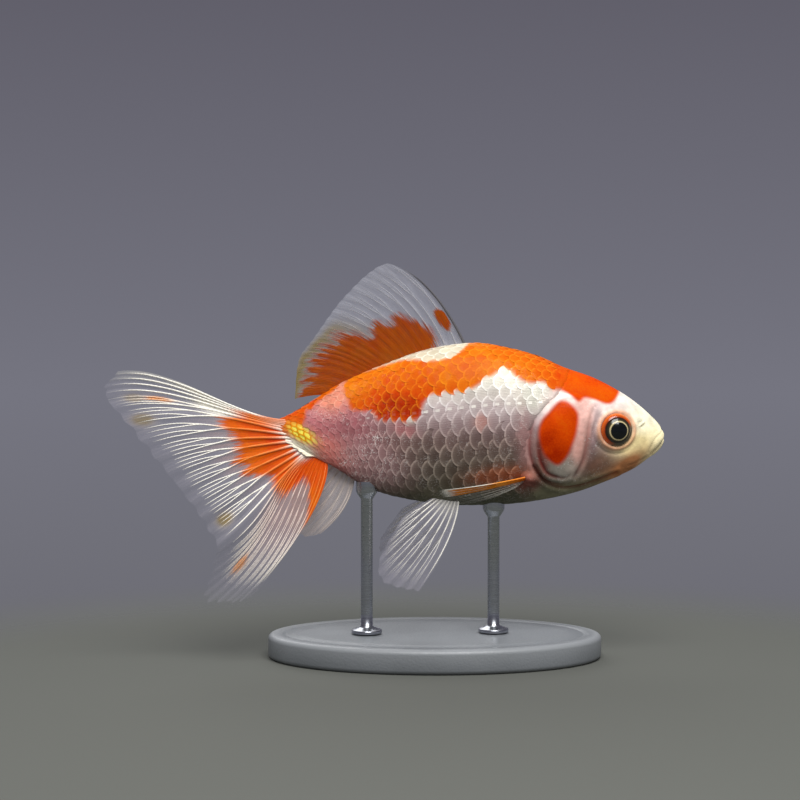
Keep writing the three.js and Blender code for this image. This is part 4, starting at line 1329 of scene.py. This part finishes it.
def strands_of(fin):
    """The strands of a fin's rays. A ray forks twice, unless it is plain: each level is (start,
    end, fork signs). Returns ray numbers, starts, ends, and the signs of the two forks."""
    first, second = fin.forks
    levels = [(0.0, first + FORK_OVERLAP, 0, 0)]
    levels += [(first, second + FORK_OVERLAP, one, 0) for one in (-1, 1)]
    levels += [(second, 1.0, one, two) for one in (-1, 1) for two in (-1, 1)]
    forked = [ray for ray in range(len(fin.bones)) if ray not in fin.plain]
    rows = [(ray, *level) for ray in forked for level in levels]
    rows += [(ray, 0.0, 1.0, 0, 0) for ray in fin.plain]
    return np.array(rows, float).T


def build_rays(name, sheet, fin, material, luck):
    """The bony rays of a fin: round tapering strands that lie in its sheet. A strand's middle
    line drifts from its ray's line by the forks it has passed, in shares of the room between
    rays."""
    ray, start, end, one, two = strands_of(fin)[..., None]
    bone, room = (values[ray.astype(int)] for values in (fin.bones, np.gradient(fin.bones)))
    end = np.minimum(end, fin.ends(bone) * (1 - RAY_LUCK * luck.random(len(ray))[:, None]))
    start = np.minimum(start, end - 0.02)
    share = np.linspace(0, 1, fin.steps)
    along = start + (end - start) * share
    drift = sum(sign * spread * smooth_step(along, fork, fork + length) for sign, spread, fork, length
                in zip((one, two), fin.spread, fin.forks, FORK_LENGTHS))
    across = np.clip(bone + room * drift * fin.gather(bone), 0, 1)
    middle, normals = sheet(across, along)
    beside = unit(np.cross(unit(np.gradient(middle, axis=1)), normals))
    level = 1 + (one != 0) + (two != 0)
    thickness = fin.radius * MM / level**0.55 * (1 - along * fin.taper) * fin.thick(across)
    thickness = np.maximum(thickness * np.minimum(1, (1 - share) * 6 + 0.25), LEAST_RAY)
    turn = full_turn(RAY_SIDES)[:, None]
    out = np.cos(turn) * normals[:, :, None] + np.sin(turn) * beside[:, :, None]
    points = middle[:, :, None] + thickness[..., None, None] * out
    cap = np.array([(0, 1, 2, 3), (0, 3, 4, 5)])
    tube = grid_faces(fin.steps, RAY_SIDES, wrap=True)
    strand = np.vstack([tube, cap[:, [0, 3, 2, 1]], (fin.steps - 1) * RAY_SIDES + cap])
    rays = add_mesh(name, points, copies(strand, len(ray), fin.steps * RAY_SIDES))
    masks = fin.masks(across, along, 0.0)
    fade_start, fade_end, left = fin.fade
    masks["clear"] = (1 - (1 - left) * smooth_step(along, fade_start, fade_end)) * fin.firm(across)
    kept = ("orange", "deep", "blush", "clear")
    add_masks(rays, {mask: np.repeat(masks[mask], RAY_SIDES) for mask in kept})
    own = np.stack([across, along], -1).reshape(-1, 2)
    add_map(rays, "fin", np.repeat(own, RAY_SIDES, axis=0))
    finish_piece(rays, material, "fin")


def fin_masks(along, clear, **others):
    """A fin's masks: how solid it is, and none of each pigment that isn't given."""
    none = 0 * along
    return {"orange": none, "olive": none, "chalk": none, "blush": none, "deep": none + 0.5,
            "clear": clear, **others}


def tail_masks(across, along, space):
    """The tail's pigment: orange out to a ragged line, spots beyond it, chalk white on the leading
    edge, and web that clears outwards and away from the rays."""
    reach = np.interp(across, *TAIL_ORANGE_REACH.T) - 0.03 * space
    orange = smooth_step(reach - along, -0.09, 0.06)
    olive = 0 * along
    for centre, radii, warm, green in TAIL_SPOTS:
        spot = firm_oval(across, along, centre, radii)
        orange = np.maximum(orange, warm * spot)
        olive = np.maximum(olive, green * spot)
    white_root = firm_oval(across, along, (0.42, 0.02), (0.26, 0.1 - 0.035 * space), firmness=2.2)
    orange = orange * (1 - 0.9 * white_root)
    chalk = firm_oval(across, along, (0.1, 0.42), (0.1, 0.12), 0.2, 1.4)
    chalk = np.maximum(chalk, smooth_step(0.05 - across, 0, 0.03) * smooth_step(along, 0.15, 0.3))
    chalk = np.maximum(chalk * (1 - orange), white_root)
    blush = 0.8 * oval(across, along, (0.37, 0.5), (0.16, 0.2)) * space
    blush = np.maximum(blush, 0.75 * smooth_step(across, 0.52, 0.62) * smooth_step(1.0 - along, 0, 0.5))
    clear = 0.05 + 0.12 * (1 - space) + 0.16 * smooth_step(0.75 - along, 0, 0.4)
    clear = np.maximum.reduce([
        clear * (1 - 0.5 * smooth_step(along, 0.8, 1.0)), 0.97 * orange, 0.6 * olive,
        chalk * 0.75 * smooth_step(0.75 - along, 0, 0.25), 0.46 * blush])
    deep = 0.4 + 0.25 * smooth_step(0.5 - along, 0, 0.3) - 0.6 * smooth_step(along, 0.6, 0.68)
    return fin_masks(along, clear, orange=orange, olive=olive, chalk=chalk, blush=blush, deep=deep)


def dorsal_masks(across, along, space):
    """The dorsal fin's pigment: a burnt orange field along its base with points that run up its
    rays, an orange spot near the front, and olive at the rear edge."""
    field = depth_inside(drawn(DORSAL_ORANGE, closed=True, steps=3), across, along)
    spot = depth_inside(drawn(DORSAL_SPOT, closed=True, steps=5), across, along)
    orange = np.maximum(smooth_step(field, -0.06, 0.05), smooth_step(spot, -0.014, 0.018))
    fringe = smooth_step(along, 0.78 - 0.3 * space, 1.0) * smooth_step(across, 0.5, 0.7)
    orange = orange * (1 - 0.9 * fringe)
    olive = smooth_step(field, -0.16, 0.0) * smooth_step(across, 0.4, 0.6) * (1 - orange)
    clear = 0.2 + 0.14 * (1 - space) + 0.2 * smooth_step(0.15 - along, 0, 0.1)
    clear = np.maximum.reduce([clear, 0.94 * orange, 0.7 * olive])
    return fin_masks(along, clear, orange=orange, olive=olive, blush=smooth_step(0.03 - across, 0, 0.02))


def clear_masks(across, along, space):
    """A plain clear fin, cloudier at its base and along its rays."""
    clear = 0.1 + 0.12 * (1 - space) + 0.3 * smooth_step(0.35 - along, 0, 0.3)
    return fin_masks(along, clear, chalk=0.5 * smooth_step(0.3 - along, 0, 0.25))


def creamy_masks(across, along, space):
    """A clear fin with a cream cast, milkier than the others."""
    masks = clear_masks(across, along, space)
    return {**masks, "clear": masks["clear"] + 0.22, "chalk": np.maximum(masks["chalk"], 0.4),
            "blush": 0.45 + 0 * along}


def pectoral_masks(across, along, space):
    """The pectoral fin's leading rays are orange, white at their tips, and the rest is clear."""
    front = smooth_step(0.3 - across, 0, 0.06)
    white_edge = smooth_step(along, 0.4, 0.6) * smooth_step(0.05 - across, 0, 0.03)
    white_tip = np.maximum(white_edge, smooth_step(along, 0.8, 0.95))
    orange = front * smooth_step(along, 0.0, 0.06) * (1 - white_tip)
    streak = smooth_step(np.cos(2 * np.pi * (across - 0.105) / 0.09), 0.5, 0.9)
    orange = orange * (1 - 0.45 * streak * smooth_step(along, 0.4, 0.6))
    clear = (0.012 + 0.02 * (1 - space)) * smooth_step(1.0 - across, 0, 0.2)
    clear = np.maximum(clear, 0.85 * front * smooth_step(1.0 - along, 0, 0.2))
    return fin_masks(along, clear, orange=orange, chalk=np.maximum(white_tip, 1 - orange) * front,
                     deep=0.3 - 0.4 * smooth_step(along, 0.1, 0.5))


def tail_fold(across, along):
    """The tail's pleats: a ridge and a hollow beside the fork, and slow waves that grow outwards."""
    pleat = 1.3 * bell(across - 0.505, 0.022) - 1.5 * bell(across - 0.56, 0.035)
    return MM * along * (pleat * smooth_step(along, 0.15, 0.5) + 0.5 * np.sin(19 * across))


def fin_plan(bones, masks, **measures):
    """A fin's measures. rows and steps are points along the web and along a ray; scallop and
    ragged cut into the web's edge; sag, web and radius are in millimetres, the web's at its base
    and its edge; forks and spread are where the rays fork and how far; plain rays don't; fade is
    where their tips clear, between two places, to a share. The rest are functions of across: how
    far out the rays end, how thick and firm they are, and how their forks gather."""
    usual = {"rows": 30, "steps": 22, "scallop": 0.015, "ragged": 0.008, "web": (0.5, 0.1), "taper": 0.6,
             "plain": (0,), "fold": lambda across, along: 0 * along, "nodes": ()}
    usual.update({key: lambda across: 1 for key in ("thick", "firm", "gather")})
    return SimpleNamespace(**{**usual, "bones": bones, "masks": masks, **measures})


TAIL_FIN = fin_plan(
    TAIL_BONES, tail_masks, rows=56, steps=26, scallop=0.012, ragged=0.012, sag=0.22, web=(0.4, 0.1),
    radius=0.34, taper=0.55, forks=(0.4, 0.56), spread=(0.23, 0.112), fade=(0.78, 0.95, 0.1),
    plain=(0, 1, 2, 3, 13, 14, 24, 25), fold=tail_fold, nodes=("tail_fin_upper", "tail_fin_lower"),
    ends=lambda across: 0.99 - 0.06 * smooth_step(across, 0.15, 0.3),
    thick=lambda across: (1 - 0.5 * smooth_step(across, 0.5, 0.62)
                          - 0.2 * smooth_step(0.1 - across, 0, 0.02)),
    gather=lambda across: 1 - 0.3 * smooth_step(across, 0.5, 0.62))
DORSAL_FIN = fin_plan(
    DORSAL_BONES, dorsal_masks, rows=36, scallop=0.006, ragged=0.0, sag=0.09, radius=0.16,
    forks=(0.5, 0.74), spread=(0.18, 0.09), fade=(0.6, 1.0, 0.2), ends=lambda across: 0.97,
    thick=lambda across: 1 + 1.2 * smooth_step(0.03 - across, 0, 0.02))
ANAL_FIN = fin_plan(
    ANAL_BONES, creamy_masks, rows=26, scallop=0.02, ragged=0.0, sag=0.16, radius=0.19,
    forks=(0.45, 0.7), spread=(0.22, 0.1), fade=(0.45, 0.95, 0.3), ends=lambda across: 0.95)
PELVIC_FIN = fin_plan(
    PELVIC_BONES, clear_masks, sag=0.16, web=(0.5, 0.08), radius=0.22, taper=0.62,
    forks=(0.42, 0.7), spread=(0.2, 0.09), fade=(0.62, 0.97, 0.12), ends=lambda across: 0.95)
PECTORAL_FIN = fin_plan(
    PECTORAL_BONES, pectoral_masks, sag=0.12, radius=0.17, forks=(0.45, 0.72), spread=(0.2, 0.1),
    fade=(0.3, 0.9, 0.15), ends=lambda across: 0.97,
    thick=lambda across: 1 - 0.5 * smooth_step(across, 0.26, 0.36),
    firm=lambda across: 1 - 0.8 * smooth_step(across, 0.26, 0.36))


def build_fins(luck):
    """All the fins, each a web piece and a ray piece."""
    clear = (make_web("fin_web", (160, 156, 170), (196, 190, 194), (186, 146, 134), 0.0),
             make_ray_bone("fin_bone", (246, 242, 230), (234, 228, 216), (222, 196, 186), 0.0))
    dusky = (make_web("dorsal_web", (158, 158, 168), (186, 186, 194), (120, 118, 122), 0.9),
             make_ray_bone("dorsal_bone", (186, 184, 188), (168, 166, 170), (92, 90, 94), 0.9))
    plans = [("dorsal_fin", DORSAL_FIN, DORSAL_RAYS, dusky), ("tail_fin", TAIL_FIN, TAIL_RAYS, clear),
             ("anal_fin", ANAL_FIN, ANAL_RAYS, clear)]
    for name, fin, rays, left in (("pelvic_fin", PELVIC_FIN, PELVIC_RAYS, LEFT_PELVIC),
                                  ("pectoral_fin", PECTORAL_FIN, PECTORAL_RAYS, LEFT_PECTORAL)):
        plans.append((f"{name}_right", fin, rays, clear))
        plans.append((f"{name}_left", fin, other_side(rays, *left), clear))
    for name, fin, rays, (web, bone) in plans:
        sheet = fin_sheet(rays, fin.fold)
        build_web(f"{name}_web", sheet, fin, web, *(fin.nodes or (name,)))
        build_rays(f"{name}_rays", sheet, fin, bone, luck)


# The stand, in millimetres

BASE_RADII = (35, 23)
BASE_EDGE = 1.0
# A fine turned line near the base's rim, as (inset, depth).
BASE_LINE = ((3.4, 0), (3.6, 0.18), (3.9, 0.18), (4.1, 0))
BASE_SIDES, ROD_SIDES = 96, 40
ROD_RADIUS = 1.25
FOOT_RADIUS, FOOT_HEIGHT, FOOT_EDGE = 3.2, 1.4, 0.25
CUP_RADIUS, CUP_DEPTH, CUP_RIM = 2.3, 2.5, 1.2
# Where the rods hold the belly, in body lengths.
RODS = {"front": 0.475, "rear": 0.83}


def lathe(name, outline, radii, centre, sides):
    """A shape turned round an upright axis. outline gives (inset, height) from the bottom middle to
    the top middle, and each ring is an ellipse of the two radii less the inset."""
    outline = np.array(outline, float)
    inset, height = outline[1:-1].T[..., None]
    turn = full_turn(sides)
    rings = [(radii[0] - inset) * np.cos(turn), (radii[1] - inset) * np.sin(turn), height]
    rings = np.stack(np.broadcast_arrays(*rings), -1) * MM + centre
    bottom, top = (np.array([0.0, 0.0, end]) * MM + centre for end in outline[[0, -1], 1])
    return add_closed(name, bottom, rings, top)


def rounded(middle, radius, start, end, steps=7):
    """A quarter circle of (inset, height) points about a middle, from one angle to another."""
    turn = np.linspace(math.radians(start), math.radians(end), steps)
    return [(middle[0] - radius * math.cos(a), middle[1] + radius * math.sin(a)) for a in turn]


def build_base(material):
    """The oval base: a plate with rounded edges and a fine turned line near its rim."""
    low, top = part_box("stand_base")
    long, wide = BASE_RADII
    edge, high = BASE_EDGE, (top.z - low.z) / MM
    outline = [
        (long, 0), (2 * edge, 0), *rounded((edge, edge), edge, -90, 0),
        *rounded((edge, high - edge), edge, 0, 90), (2.2 * edge, high),
        *((inset, high - depth) for inset, depth in BASE_LINE), (8, high), (16, high), (long, high)]
    base = lathe("stand_plate", outline, BASE_RADII, (0, 0, low.z), BASE_SIDES)
    places = np.empty(3 * len(base.data.vertices))
    base.data.vertices.foreach_get("co", places)
    x, y, z = (places.reshape(-1, 3) / MM).T
    rim = smooth_step(np.hypot(x / long, y / wide), 0.93, 0.97)
    add_masks(base, {"worn": rim * smooth_step(top.z / MM - z, 2 * edge, 0.5 * edge)})
    finish_piece(base, material, "stand_base", "stand_base")


def build_rod(name, u, material):
    """A rod with a round foot on the base and a cup that holds the belly."""
    low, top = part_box(f"stand_rod_{name}")
    belly = (SNOUT_Z + LENGTH * float(belly_at(u)) - low.z) / MM
    foot, rod, cup = FOOT_RADIUS, FOOT_RADIUS - ROD_RADIUS, FOOT_RADIUS - CUP_RADIUS
    neck = belly - CUP_DEPTH
    outline = [
        (foot, 0), (0, 0), *rounded((FOOT_EDGE, FOOT_HEIGHT / 2 - FOOT_EDGE), FOOT_EDGE, 0, 90, 4),
        (rod - 0.5, FOOT_HEIGHT * 0.78), (rod, FOOT_HEIGHT), (rod, 3 * FOOT_HEIGHT), (rod, neck / 2),
        (rod, neck), (rod - 0.35, neck + 0.5), (cup + 0.15, belly - 1.15), (cup, belly - 0.7),
        (cup, belly + CUP_RIM), (foot, belly + CUP_RIM)]
    centre = ((low.x + top.x) / 2, (low.y + top.y) / 2, low.z)
    piece = lathe(f"stand_{name}_rod", outline, (foot, foot), centre, ROD_SIDES)
    finish_piece(piece, material, "stand_rod", f"stand_rod_{name}")


# The whole

bpy.context.scene.view_settings.view_transform = "Standard"
add_camera()
add_world()
for name, (place, power) in LAMPS.items():
    add_lamp(name, place, power)
add_floor()

luck = np.random.default_rng(7)
build_skin(make_skin())
scale_coat = make_scale_coat()
eye_finish = make_eye()
for side in (RIGHT, LEFT):
    build_scales(side, scale_coat, luck)
    build_eye(side, eye_finish)
build_fins(luck)
build_base(make_lacquer())
steel = make_steel()
for name, place in RODS.items():
    build_rod(name, place, steel)
